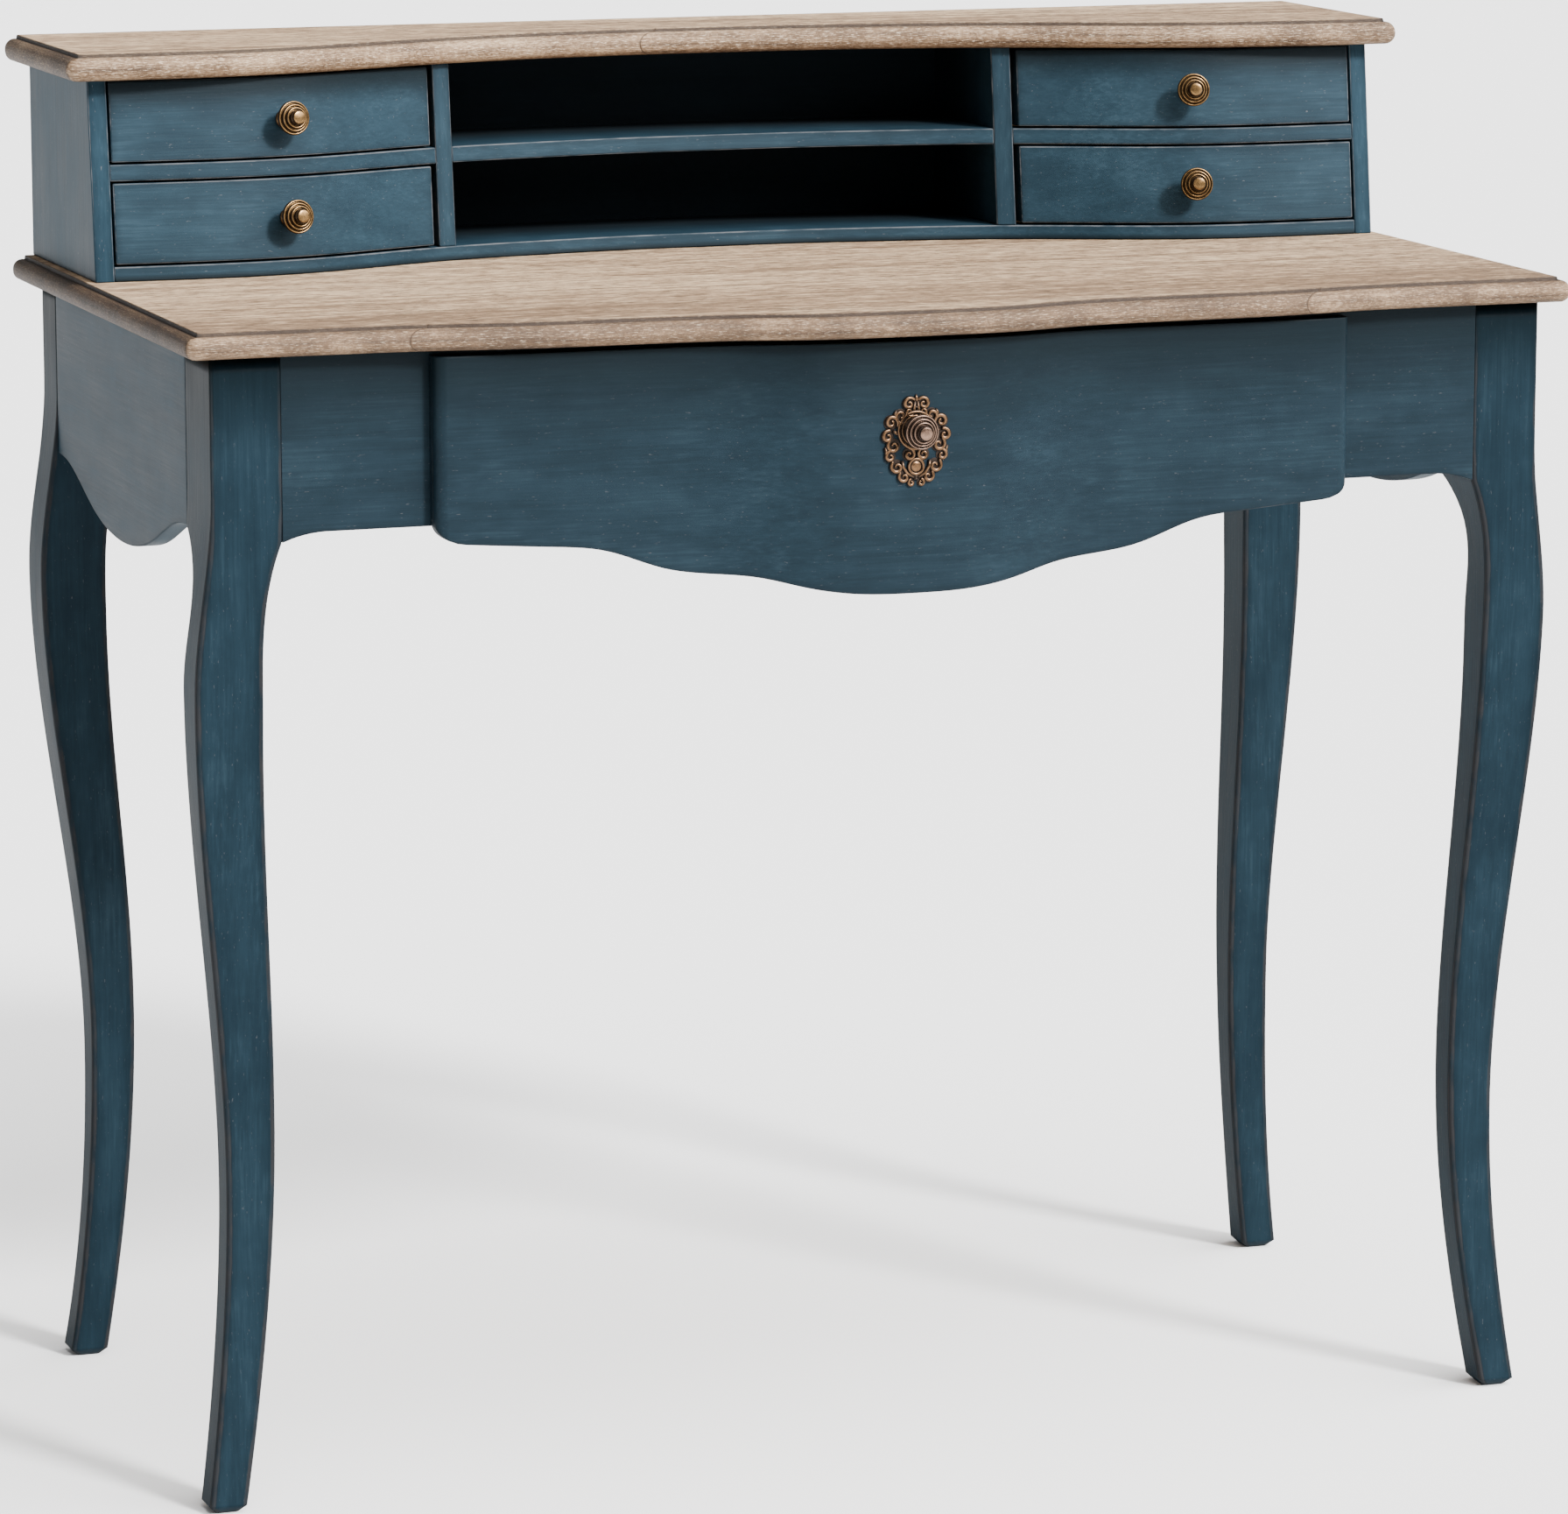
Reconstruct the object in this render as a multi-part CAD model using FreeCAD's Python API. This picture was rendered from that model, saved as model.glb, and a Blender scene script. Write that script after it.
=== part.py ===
import FreeCAD, Part
import math
import os

# Secretary desk: a serpentine writing table on four cabriole legs with one wide drawer,
# and a low hutch on its back half with four small drawers and two pigeonholes.
#
# Millimetres. X runs to the right, Y to the back, Z up, floor at Z 0.
# Depths are written from the front plane of the front posts; place() moves every piece
# so that the finished desk is centred on the origin in X and Y.

V = FreeCAD.Vector

# Overall heights
WRITING_HEIGHT = 778.0
OVERALL_HEIGHT = 930.0

# Moulded tops
DESK_TOP_THICKNESS = 17.0
DESK_TOP_HALF_WIDTH = 479.5
HUTCH_TOP_THICKNESS = 18.0
HUTCH_TOP_HALF_WIDTH = 482.0
FIELD_STEP = 2.5
FIELD_INSET = 8.5
NOSE_FLAT = 1.0
TOP_CORNER_RADIUS = 8.0
BACK_Y = 462.0

# Legs and frame
LEG_TOP = WRITING_HEIGHT - DESK_TOP_THICKNESS
POST_OUTER_X = 461.0
POST_WIDTH = 46.0
POST_INNER_X = POST_OUTER_X - POST_WIDTH
FRONT_POST_DEPTH = 62.0
BACK_POST_Y = 454.6
BACK_POST_DEPTH = 40.0
POST_BOTTOM = 641.0
FOOT_CHAMFER = 5.0
APRON_THICKNESS = 20.0
SIDE_APRON_THICKNESS = 14.0
FLANK_BOTTOM = 647.0
FLANK_CURVE_X = 385.0

# Frame members around the wide drawer
OPENING_HALF_WIDTH = 297.0
RAIL_DEPTH = 30.0
RUNNER_TOP = 660.0
LOWER_RAIL_BOTTOM = 646.0
UPPER_RAIL_BOTTOM = 743.0
RUNNER_INNER_X = 270.0
RUNNER_OUTER_X = 310.0
GUIDE_INNER_X = 295.5
GUIDE_TOP = 700.0
KICKER_INNER_X = 275.0
BACK_APRON_Y = 432.0
CORNER_BLOCK_SIDE = 48.0
CORNER_BLOCK_HEIGHT = 50.0

# Wide drawer
DRAWER_FACE_HALF_WIDTH = 317.3
DRAWER_FACE_CENTRE_Y = -36.0
DRAWER_FACE_END_Y = -14.1
DRAWER_FACE_TOP = 757.0
DRAWER_FACE_EDGE_RADIUS = 8.0
DRAWER_FACE_BACK_Y = -1.0
BOX_HALF_WIDTH = 294.0
BOX_WALL = 12.0
BOX_BOTTOM = 660.5
BOX_TOP = 741.5
BOX_BACK_Y = 405.0
PANEL_THICKNESS = 5.0
PANEL_LIFT = 7.5
GROOVE_DEPTH = 5.0
BOX_BACK_DROP = 5.5

# Hutch
HUTCH_HALF_WIDTH = 465.0
HUTCH_WALL = 13.0
HUTCH_BOARD = 10.0
HUTCH_LEAN = 0.119
DIVIDER_INNER_X = 199.0
DIVIDER_OUTER_X = 212.0
SHELF_Z = 844.5
SHELF_THICKNESS = 11.0
BACK_PANEL_THICKNESS = 5.0

# Small drawers
REVEAL = 1.5
INNER_REVEAL = 4.0
SMALL_FRONT_THICKNESS = 15.0
SMALL_WALL = 9.0
SMALL_SIDE_GAP = 2.5
SMALL_BOX_LIFT = 0.5
SMALL_SIDE_DROP = 4.0
SMALL_BACK_GAP = 4.0
SMALL_PANEL_THICKNESS = 4.0
SMALL_PANEL_LIFT = 3.5
SMALL_GROOVE = 4.0
SMALL_KNOB_X = 330.0
LOWER_KNOB_Z = 816.5
UPPER_KNOB_Z = 882.0

# Knobs, backplate and screws
KNOB_RADIUS = 11.5
KNOB_FOOT_RADIUS = 6.0
KNOB_STEM_RADIUS = 4.2
SMALL_KNOB_RIM_BACK = 14.0
MAIN_KNOB_RIM_BACK = 8.0
KNOB_RIM_THICKNESS = 3.0
KNOB_RINGS = 3
KNOB_RING_WIDTH = 2.1
KNOB_RING_RISE = 1.9
KNOB_BUTTON_RISE = 2.3
KNOB_HEAD_DEPTH = KNOB_RIM_THICKNESS + KNOB_RINGS * KNOB_RING_RISE + KNOB_BUTTON_RISE
MAIN_KNOB_Z = 699.0
BACKPLATE_THICKNESS = 2.0
BACKPLATE_OUTLINE = [(0, 24), (4, 21), (9, 19), (14, 15.5), (20, 11), (24, 4.5), (24.3, -3.5),
                     (21, -9), (21.5, -17), (18.5, -24.5), (14, -31), (9, -35.5), (3.5, -37.3),
                     (0, -35.5)]
BACKPLATE_EYES = [(4.4, 16.2, 2.2), (12.5, 11, 2.6), (19.2, 4.5, 2.2), (19.5, -4, 1.8),
                  (16.5, -11, 2.4), (16.5, -18.5, 1.8), (12.5, -24.5, 2.4), (5.5, -17.5, 1.6),
                  (9, -30.5, 1.5), (3.6, -33, 1.5)]
BOLT_RADIUS = 2.0
BOLT_HEAD_RADIUS = 4.0
BOLT_HEAD_THICKNESS = 2.4
BOLT_GRIP_IN_KNOB = 9.0
SCREW_RADIUS = 2.0
SCREW_HEAD_RADIUS = 4.0
SCREW_HEAD_DEPTH = 2.5
SCREW_TIP = 4.0
SCREW_BITE = 9.0
HUTCH_SCREW_LENGTH = 25.0
HUTCH_SCREWS = [(400, 340), (400, 435), (140, 400)]

# Heights and depths that follow from the sizes above
HUTCH_TOP_UNDERSIDE = OVERALL_HEIGHT - HUTCH_TOP_THICKNESS
HUTCH_INNER_X = HUTCH_HALF_WIDTH - HUTCH_WALL
BACK_PANEL_Y = BACK_Y - BACK_PANEL_THICKNESS
BACK_POST_FRONT_Y = BACK_POST_Y - BACK_POST_DEPTH
KNOB_TIP_Y = (DRAWER_FACE_CENTRE_Y - BACKPLATE_THICKNESS - MAIN_KNOB_RIM_BACK
              - KNOB_HEAD_DEPTH)
CENTRE_SHIFT = -(BACK_Y + KNOB_TIP_Y) / 2
FAR = 900.0

# Plan curves, right-hand half, as (distance from the middle, depth)
DESK_NOSE = [(0, -51), (45, -50), (80, -45.5), (110, -37), (150, -31.5), (231, -29.5),
             (276, -26.5), (320, -19.5), (360, -17), (DESK_TOP_HALF_WIDTH, -17)]
HUTCH_NOSE = [(0, 362), (60, 360.5), (120, 353.5), (200, 335), (250, 317), (300, 298),
              (370, 281.5), (420, 277), (HUTCH_TOP_HALF_WIDTH, 276)]
HUTCH_FRONT = [(0, 353), (60, 352), (120, 345), (200, 330), (250, 312), (300, 292),
               (345, 281.5), (400, 278.5), (HUTCH_HALF_WIDTH, 280.5)]
DRAWER_FACE = [(0, DRAWER_FACE_CENTRE_Y), (35, -35.5), (70, -31.5), (100, -24.5), (135, -19),
               (200, -17), (270, -15.5), (DRAWER_FACE_HALF_WIDTH, DRAWER_FACE_END_Y)]

# Elevation curves: lower edge of the wide drawer's face and of the side aprons
DRAWER_LOWER_EDGE = [(0, 592), (45, 593.8), (75, 599), (102, 605.5), (135, 609.3), (165, 614),
                     (205, 627.5), (240, 631.8), (300, 636)]
DRAWER_CORNER_Z = 651.0
DRAWER_CORNER_FULLNESS = 1.6
DRAWER_CORNER_RISE = 0.25
FLANK_EASE_SLOPE = 0.4
SIDE_LOBE_Z = 609.5
SIDE_LOWER_EDGE = [(0, SIDE_LOBE_Z), (38, 612), (78, 620.5), (118, 634.5), (152, 644)]
SIDE_EDGE_END_Z = 646.0

# Leg outlines as (height, distance, slope) knots. Across the desk the distance is from the
# middle plane; along its depth it is from the front plane.
FRONT_LEG_OUTER = [(FOOT_CHAMFER, 467.5, -0.15), (210, 450.5, 0), (545, 472.2, 0),
                   (670, POST_OUTER_X, 0)]
FRONT_LEG_INNER = [(FOOT_CHAMFER, 442.5, -0.18), (245, 418.3, 0), (525, 427.5, 0),
                   (POST_BOTTOM, POST_INNER_X, -0.4)]
FRONT_LEG_FRONT = [(FOOT_CHAMFER, 17.5, 0.1), (175, 27, 0), (650, 0, 0)]
FRONT_LEG_BACK = [(FOOT_CHAMFER, 43.5, 0.08), (170, 52, 0), (545, 37.5, 0),
                  (FLANK_BOTTOM, FRONT_POST_DEPTH, 1.4)]
BACK_LEG_OUTER = [(FOOT_CHAMFER, 462.5, -0.15), (225, 447, 0), (560, 474, 0), (690, POST_OUTER_X, 0)]
BACK_LEG_INNER = [(FOOT_CHAMFER, 436.5, -0.15), (245, 416.5, 0), (525, 428.5, 0),
                  (POST_BOTTOM, POST_INNER_X, -0.4)]
BACK_LEG_FRONT = [(FOOT_CHAMFER, 420, -0.08), (290, 405, 0), (560, 416, 0),
                  (POST_BOTTOM, BACK_POST_FRONT_Y, 0)]
BACK_LEG_BACK = [(FOOT_CHAMFER, 446, -0.15), (200, 433, 0), (585, 457.5, 0), (705, BACK_POST_Y, 0)]


def box(x0, x1, y0, y1, z0, z1):
    """Rectangular board between two corners."""
    return Part.makeBox(x1 - x0, y1 - y0, z1 - z0, V(x0, y0, z0))


def mirrored(shape):
    """The same piece on the other side of the middle plane."""
    return shape.mirror(V(0, 0, 0), V(1, 0, 0))


def on_side(shape, side):
    """A piece modelled on the right, put on the side asked for."""
    return shape if side > 0 else mirrored(shape)


def cylinder(radius, start, direction, length):
    """Round bar from a start point along a direction."""
    return Part.makeCylinder(radius, length, start, direction)


def place(shape):
    """Move a finished piece into the desk's own frame."""
    moved = shape.copy()
    moved.translate(V(0, CENTRE_SHIFT, 0))
    return moved


def save(name, *shapes):
    """Write one sub-part, made of one or more separate solids."""
    solids = [solid for shape in shapes for solid in place(shape).Solids]
    whole = solids[0] if len(solids) == 1 else Part.makeCompound(solids)
    whole.exportStep("parts/" + name + ".step")


# Outlines

def symmetric_curve(half, inset=0.0):
    """Smooth plan curve through a half outline and its mirror image, set back by inset."""
    right = [(x, y + inset) for x, y in half[:-1]]
    right.append((half[-1][0] - inset, half[-1][1] + inset))
    points = [V(-x, y, 0) for x, y in reversed(right[1:])] + [V(x, y, 0) for x, y in right]
    curve = Part.BSplineCurve()
    curve.interpolate(points)
    return curve


def plan_face(half, back_y, inset=0.0):
    """Flat face bounded by a front curve, straight sides and a straight back."""
    curve = symmetric_curve(half, inset)
    left = curve.StartPoint
    right = curve.EndPoint
    back_right = V(right.x, back_y, 0)
    back_left = V(left.x, back_y, 0)
    edges = [curve.toShape(), Part.makeLine(right, back_right),
             Part.makeLine(back_right, back_left), Part.makeLine(back_left, left)]
    return Part.Face(Part.Wire(edges))


def blend(start, start_slope, end, end_slope):
    """Cubic edge between two points with a direction of travel at each."""
    curve = Part.BezierCurve()
    curve.setPoles([start, start + start_slope * (1 / 3), end - end_slope * (1 / 3), end])
    return curve.toShape()


def knot_edges(knots, point):
    """Chain of blends through (height, distance, slope) knots, from the bottom up."""
    edges = []
    for (z0, d0, s0), (z1, d1, s1) in zip(knots, knots[1:]):
        rise = z1 - z0
        along = point(z1, d1) - point(z0, d1)
        across = point(z1, d1 + 1) - point(z1, d1)
        edges.append(blend(point(z0, d0), along + across * (s0 * rise),
                           point(z1, d1), along + across * (s1 * rise)))
    return edges


def leg_outline(first, second, point):
    """Closed outline of a leg seen from one direction, with its foot chamfered."""
    first_foot = point(FOOT_CHAMFER, first[0][1])
    second_foot = point(FOOT_CHAMFER, second[0][1])
    toward = math.copysign(FOOT_CHAMFER, second[0][1] - first[0][1])
    first_sole = point(0, first[0][1] + toward)
    second_sole = point(0, second[0][1] - toward)
    first_top = point(LEG_TOP, first[-1][1])
    second_top = point(LEG_TOP, second[-1][1])
    edges = knot_edges(first, point) + knot_edges(second, point)
    edges += [Part.makeLine(point(first[-1][0], first[-1][1]), first_top),
              Part.makeLine(first_top, second_top),
              Part.makeLine(second_top, point(second[-1][0], second[-1][1])),
              Part.makeLine(first_foot, first_sole),
              Part.makeLine(first_sole, second_sole),
              Part.makeLine(second_sole, second_foot)]
    return Part.Face(Part.Wire(Part.__sortEdges__(edges)))


# Fasteners

def wood_screw(x, y, head_z, length):
    """Countersunk screw driven straight up, with its head flush at head_z."""
    up = V(0, 0, 1)
    head = Part.makeCone(SCREW_HEAD_RADIUS, SCREW_RADIUS, SCREW_HEAD_DEPTH, V(x, y, head_z), up)
    shank_length = length - SCREW_TIP
    shank = cylinder(SCREW_RADIUS, V(x, y, head_z), up, shank_length)
    tip = Part.makeCone(SCREW_RADIUS, 0, SCREW_TIP, V(x, y, head_z + shank_length), up)
    return head.fuse(shank).fuse(tip).removeSplitter()


def knob_bolt(face, outward, front_thickness):
    """Machine screw from behind a drawer front into the back of its knob."""
    seat = face - outward * front_thickness
    head = cylinder(BOLT_HEAD_RADIUS, seat, outward * -1, BOLT_HEAD_THICKNESS)
    shank = cylinder(BOLT_RADIUS, seat, outward, front_thickness + BOLT_GRIP_IN_KNOB)
    return head.fuse(shank).removeSplitter()


def knob(face, outward, rim_back):
    """Turned knob: foot, stem, then a rim stepped in rings up to a domed button."""
    outline = [(0, 0), (KNOB_FOOT_RADIUS, 0), (KNOB_FOOT_RADIUS, 1.5), (KNOB_STEM_RADIUS, 3),
               (KNOB_STEM_RADIUS, rim_back - 3), (KNOB_RADIUS - 1, rim_back),
               (KNOB_RADIUS, rim_back + 1)]
    radius = KNOB_RADIUS
    height = rim_back + KNOB_RIM_THICKNESS
    outline.append((radius, height))
    for _ in range(KNOB_RINGS):
        radius -= KNOB_RING_WIDTH
        outline.append((radius, height))
        height += KNOB_RING_RISE
        outline.append((radius, height))
    edges = [Part.makeLine(V(r0, 0, h0), V(r1, 0, h1))
             for (r0, h0), (r1, h1) in zip(outline, outline[1:])]
    rim = V(radius, 0, height)
    crown = V(0, 0, height + KNOB_BUTTON_RISE)
    dome = (radius ** 2 + KNOB_BUTTON_RISE ** 2) / (2 * KNOB_BUTTON_RISE)
    half_angle = math.asin(radius / dome) / 2
    shoulder = V(dome * math.sin(half_angle), 0, crown.z - dome * (1 - math.cos(half_angle)))
    edges.append(Part.Arc(rim, shoulder, crown).toShape())
    edges.append(Part.makeLine(crown, V(0, 0, 0)))
    turned = Part.Face(Part.Wire(edges)).revolve(V(0, 0, 0), V(0, 0, 1), 360)
    turned.Placement = FreeCAD.Placement(face, FreeCAD.Rotation(V(0, 0, 1), outward))
    return turned


# Moulded tops

def moulded_top(nose, underside, thickness):
    """Board with a rounded nose on the front and sides and a raised field on top."""
    nose_height = thickness - FIELD_STEP
    board = plan_face(nose, BACK_Y).extrude(V(0, 0, nose_height))
    front_corners = [edge for edge in board.Edges
                     if is_upright(edge) and edge.CenterOfMass.y < BACK_Y - 1]
    board = board.makeFillet(TOP_CORNER_RADIUS, front_corners)
    rims = [edge for edge in board.Edges
            if not is_upright(edge) and edge.CenterOfMass.y < BACK_Y - 1]
    board = board.makeFillet((nose_height - NOSE_FLAT) / 2, rims)
    field = plan_face(nose, BACK_Y, FIELD_INSET).extrude(V(0, 0, FIELD_STEP + 1))
    field.translate(V(0, 0, nose_height - 1))
    top = board.fuse(field).removeSplitter()
    top.translate(V(0, 0, underside))
    return top


def is_upright(edge):
    """True for a straight vertical edge."""
    extent = edge.BoundBox
    return extent.ZLength > 1 and extent.XLength < 0.01 and extent.YLength < 0.01


# Legs and frame

def leg(inner_knots, outer_knots, front_knots, back_knots):
    """Cabriole leg cut to its front and side outlines, right-hand side."""
    across = leg_outline(inner_knots, outer_knots, lambda z, d: V(d, -FAR, z))
    along = leg_outline(front_knots, back_knots, lambda z, d: V(0, d, z))
    return across.extrude(V(0, 2 * FAR, 0)).common(along.extrude(V(FAR, 0, 0)))


def front_apron():
    """Flank beside the drawer, its lower edge easing down into the post."""
    top_inner = V(OPENING_HALF_WIDTH, 0, LEG_TOP)
    top_outer = V(POST_INNER_X, 0, LEG_TOP)
    low_outer = V(POST_INNER_X, 0, POST_BOTTOM)
    low_inner = V(OPENING_HALF_WIDTH, 0, FLANK_BOTTOM)
    ease = V(FLANK_CURVE_X, 0, FLANK_BOTTOM)
    reach = POST_INNER_X - FLANK_CURVE_X
    edges = [Part.makeLine(low_inner, ease),
             blend(ease, V(reach, 0, 0), low_outer, V(reach, 0, -FLANK_EASE_SLOPE * reach)),
             Part.makeLine(low_outer, top_outer), Part.makeLine(top_outer, top_inner),
             Part.makeLine(top_inner, low_inner)]
    return Part.Face(Part.Wire(edges)).extrude(V(0, APRON_THICKNESS, 0))


def side_apron():
    """End apron: an arch beside each leg and a deep lobe in the middle."""
    middle = (FRONT_POST_DEPTH + BACK_POST_FRONT_Y) / 2
    half_length = middle - FRONT_POST_DEPTH
    half = SIDE_LOWER_EDGE + [(half_length, SIDE_EDGE_END_Z)]
    x = POST_OUTER_X - SIDE_APRON_THICKNESS
    points = [V(x, middle - d, z) for d, z in reversed(half[1:])]
    points += [V(x, middle + d, z) for d, z in half]
    curve = Part.BSplineCurve()
    curve.interpolate(points)
    front_top = V(x, FRONT_POST_DEPTH, LEG_TOP)
    back_top = V(x, BACK_POST_FRONT_Y, LEG_TOP)
    edges = [curve.toShape(), Part.makeLine(points[-1], back_top),
             Part.makeLine(back_top, front_top), Part.makeLine(front_top, points[0])]
    return Part.Face(Part.Wire(edges)).extrude(V(SIDE_APRON_THICKNESS, 0, 0))


def drawer_rail(z0, z1):
    """Rail between the front posts, with a tongue that fills the space between the flanks."""
    rail = box(-POST_INNER_X, POST_INNER_X, APRON_THICKNESS, APRON_THICKNESS + RAIL_DEPTH, z0, z1)
    tongue = box(-OPENING_HALF_WIDTH, OPENING_HALF_WIDTH, 0, APRON_THICKNESS, z0, z1)
    return rail.fuse(tongue).removeSplitter()


def drawer_runner():
    """Strip that carries the drawer side, with a guide that keeps the drawer straight."""
    front = APRON_THICKNESS + RAIL_DEPTH
    strip = box(RUNNER_INNER_X, RUNNER_OUTER_X, front, BACK_APRON_Y, LOWER_RAIL_BOTTOM, RUNNER_TOP)
    guide = box(GUIDE_INNER_X, RUNNER_OUTER_X, front, BACK_APRON_Y, RUNNER_TOP, GUIDE_TOP)
    return strip.fuse(guide).removeSplitter()


def drawer_kicker():
    """Strip above the drawer side that stops the open drawer from tipping."""
    front = APRON_THICKNESS + RAIL_DEPTH
    return box(KICKER_INNER_X, RUNNER_OUTER_X, front, BACK_APRON_Y, UPPER_RAIL_BOTTOM, LEG_TOP)


def corner_block(y, inward):
    """Triangular block in a corner behind a post; inward is +1 at the front, -1 at the back."""
    x = POST_OUTER_X - SIDE_APRON_THICKNESS
    z = LEG_TOP - CORNER_BLOCK_HEIGHT
    corners = [V(x, y, z), V(x, y + inward * CORNER_BLOCK_SIDE, z), V(x - CORNER_BLOCK_SIDE, y, z)]
    return Part.Face(Part.makePolygon(corners + corners[:1])).extrude(V(0, 0, CORNER_BLOCK_HEIGHT))


# Wide drawer

def drawer_face():
    """Overlaid serpentine front with a shaped lower edge and eased ends."""
    plan = plan_face(DRAWER_FACE, DRAWER_FACE_BACK_Y).extrude(V(0, 0, DRAWER_FACE_TOP))
    ends = [edge for edge in plan.Edges
            if is_upright(edge) and edge.CenterOfMass.y < DRAWER_FACE_BACK_Y - 1]
    plan = plan.makeFillet(DRAWER_FACE_EDGE_RADIUS, ends)
    right = [V(x, -FAR, z) for x, z in DRAWER_LOWER_EDGE]
    left = [V(-p.x, p.y, p.z) for p in reversed(right[1:])]
    lower = Part.BSplineCurve()
    lower.interpolate(left + right)
    foot = right[-1]
    side = V(DRAWER_FACE_HALF_WIDTH, -FAR, DRAWER_CORNER_Z)
    top = V(DRAWER_FACE_HALF_WIDTH, -FAR, DRAWER_FACE_TOP)
    width = side.x - foot.x
    pull = DRAWER_CORNER_FULLNESS * width
    corner = blend(foot, V(pull, 0, DRAWER_CORNER_RISE * width), side, V(0, 0, pull))
    edges = [lower.toShape(), corner, mirrored(corner), Part.makeLine(side, top),
             mirrored(Part.makeLine(side, top)), Part.makeLine(top, V(-top.x, top.y, top.z))]
    elevation = Part.Face(Part.Wire(Part.__sortEdges__(edges)))
    return plan.common(elevation.extrude(V(0, 2 * FAR, 0)))


def backplate():
    """Pierced plate with a scrolled outline around the knob's foot."""
    front = DRAWER_FACE_CENTRE_Y - BACKPLATE_THICKNESS
    right = [V(x, front, MAIN_KNOB_Z + z) for x, z in BACKPLATE_OUTLINE]
    points = right + [V(-p.x, p.y, p.z) for p in reversed(right[1:-1])]
    outline = Part.BSplineCurve()
    outline.interpolate(points, PeriodicFlag=True)
    plate = Part.Face(Part.Wire(outline.toShape())).extrude(V(0, BACKPLATE_THICKNESS, 0))
    holes = [cylinder(radius, V(side * x, front, MAIN_KNOB_Z + z), V(0, 1, 0), BACKPLATE_THICKNESS)
             for x, z, radius in BACKPLATE_EYES for side in (-1, 1)]
    return plate.cut(Part.makeCompound(holes))


def write_wide_drawer():
    forward = V(0, -1, 0)
    knob_seat = V(0, DRAWER_FACE_CENTRE_Y - BACKPLATE_THICKNESS, MAIN_KNOB_Z)
    inner_back = DRAWER_FACE_BACK_Y + BOX_WALL
    bolt = knob_bolt(knob_seat, forward, inner_back - knob_seat.y)
    inner_x = BOX_HALF_WIDTH - BOX_WALL
    panel_z = BOX_BOTTOM + PANEL_LIFT
    panel_front = inner_back - GROOVE_DEPTH
    panel = box(-inner_x - GROOVE_DEPTH, inner_x + GROOVE_DEPTH, panel_front, BOX_BACK_Y,
                panel_z, panel_z + PANEL_THICKNESS)
    side = box(inner_x, BOX_HALF_WIDTH, DRAWER_FACE_BACK_Y, BOX_BACK_Y, BOX_BOTTOM, BOX_TOP)
    side = side.cut(panel)
    inner_front = box(-inner_x, inner_x, DRAWER_FACE_BACK_Y, inner_back, BOX_BOTTOM, BOX_TOP)
    back = box(-inner_x, inner_x, BOX_BACK_Y - BOX_WALL, BOX_BACK_Y,
               panel_z + PANEL_THICKNESS, BOX_TOP - BOX_BACK_DROP)
    save("main_drawer_front", drawer_face().cut(bolt))
    save("main_drawer_inner_front", inner_front.cut(panel).cut(bolt))
    save("main_drawer_side_left", mirrored(side))
    save("main_drawer_side_right", side)
    save("main_drawer_back", back)
    save("main_drawer_bottom", panel)
    save("main_drawer_backplate", backplate().cut(bolt))
    save("main_drawer_knob", knob(knob_seat, forward, MAIN_KNOB_RIM_BACK).cut(bolt))
    save("main_drawer_knob_bolt", bolt)


# Hutch

def hutch_envelope(inset=0.0):
    """Solid behind the hutch's serpentine front, which leans back as it rises."""
    height = HUTCH_TOP_UNDERSIDE - WRITING_HEIGHT
    front = [(x, y + inset) for x, y in HUTCH_FRONT]
    solid = plan_face(front, FAR).extrude(V(0, HUTCH_LEAN * height, height))
    solid.translate(V(0, 0, WRITING_HEIGHT))
    return solid


def hutch_board(x0, x1, z0, z1, back_y=BACK_PANEL_Y):
    """Board or upright whose front edge follows the serpentine front."""
    return hutch_envelope().common(box(x0, x1, 0, back_y, z0, z1))


def write_hutch(screws):
    floor_z = WRITING_HEIGHT + HUTCH_BOARD
    side = hutch_board(HUTCH_INNER_X, HUTCH_HALF_WIDTH, WRITING_HEIGHT, HUTCH_TOP_UNDERSIDE, BACK_Y)
    divider = hutch_board(DIVIDER_INNER_X, DIVIDER_OUTER_X, floor_z, HUTCH_TOP_UNDERSIDE)
    shelf_top = SHELF_Z + SHELF_THICKNESS
    shelf = hutch_board(-DIVIDER_INNER_X, DIVIDER_INNER_X, SHELF_Z, shelf_top)
    drawer_shelf = hutch_board(DIVIDER_OUTER_X, HUTCH_INNER_X, SHELF_Z, shelf_top)
    bottom = hutch_board(-HUTCH_INNER_X, HUTCH_INNER_X, WRITING_HEIGHT, floor_z)
    back_panel = box(-HUTCH_INNER_X, HUTCH_INNER_X, BACK_PANEL_Y, BACK_Y,
                     WRITING_HEIGHT, HUTCH_TOP_UNDERSIDE)
    save("hutch_top", moulded_top(HUTCH_NOSE, HUTCH_TOP_UNDERSIDE, HUTCH_TOP_THICKNESS))
    save("hutch_bottom", bottom.cut(screws))
    save("hutch_shelf", shelf)
    save("hutch_back_panel", back_panel)
    for name, sign in (("left", -1), ("right", 1)):
        save("hutch_side_" + name, on_side(side, sign))
        save("hutch_divider_" + name, on_side(divider, sign))
        save("hutch_drawer_shelf_" + name, on_side(drawer_shelf, sign))


def hutch_face_at(x, z):
    """Point and outward direction on the hutch's front, at a distance x and a height z."""
    curve = symmetric_curve(HUTCH_FRONT)
    plumb = Part.makeLine(V(x, 0, 0), V(x, FAR, 0))
    foot = curve.toShape().distToShape(plumb)[1][0][0]
    tangent = curve.tangent(curve.parameter(foot))[0]
    outward = tangent.cross(V(0, HUTCH_LEAN, 1)).normalize()
    return V(x, foot.y + HUTCH_LEAN * (z - WRITING_HEIGHT), z), outward


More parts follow.
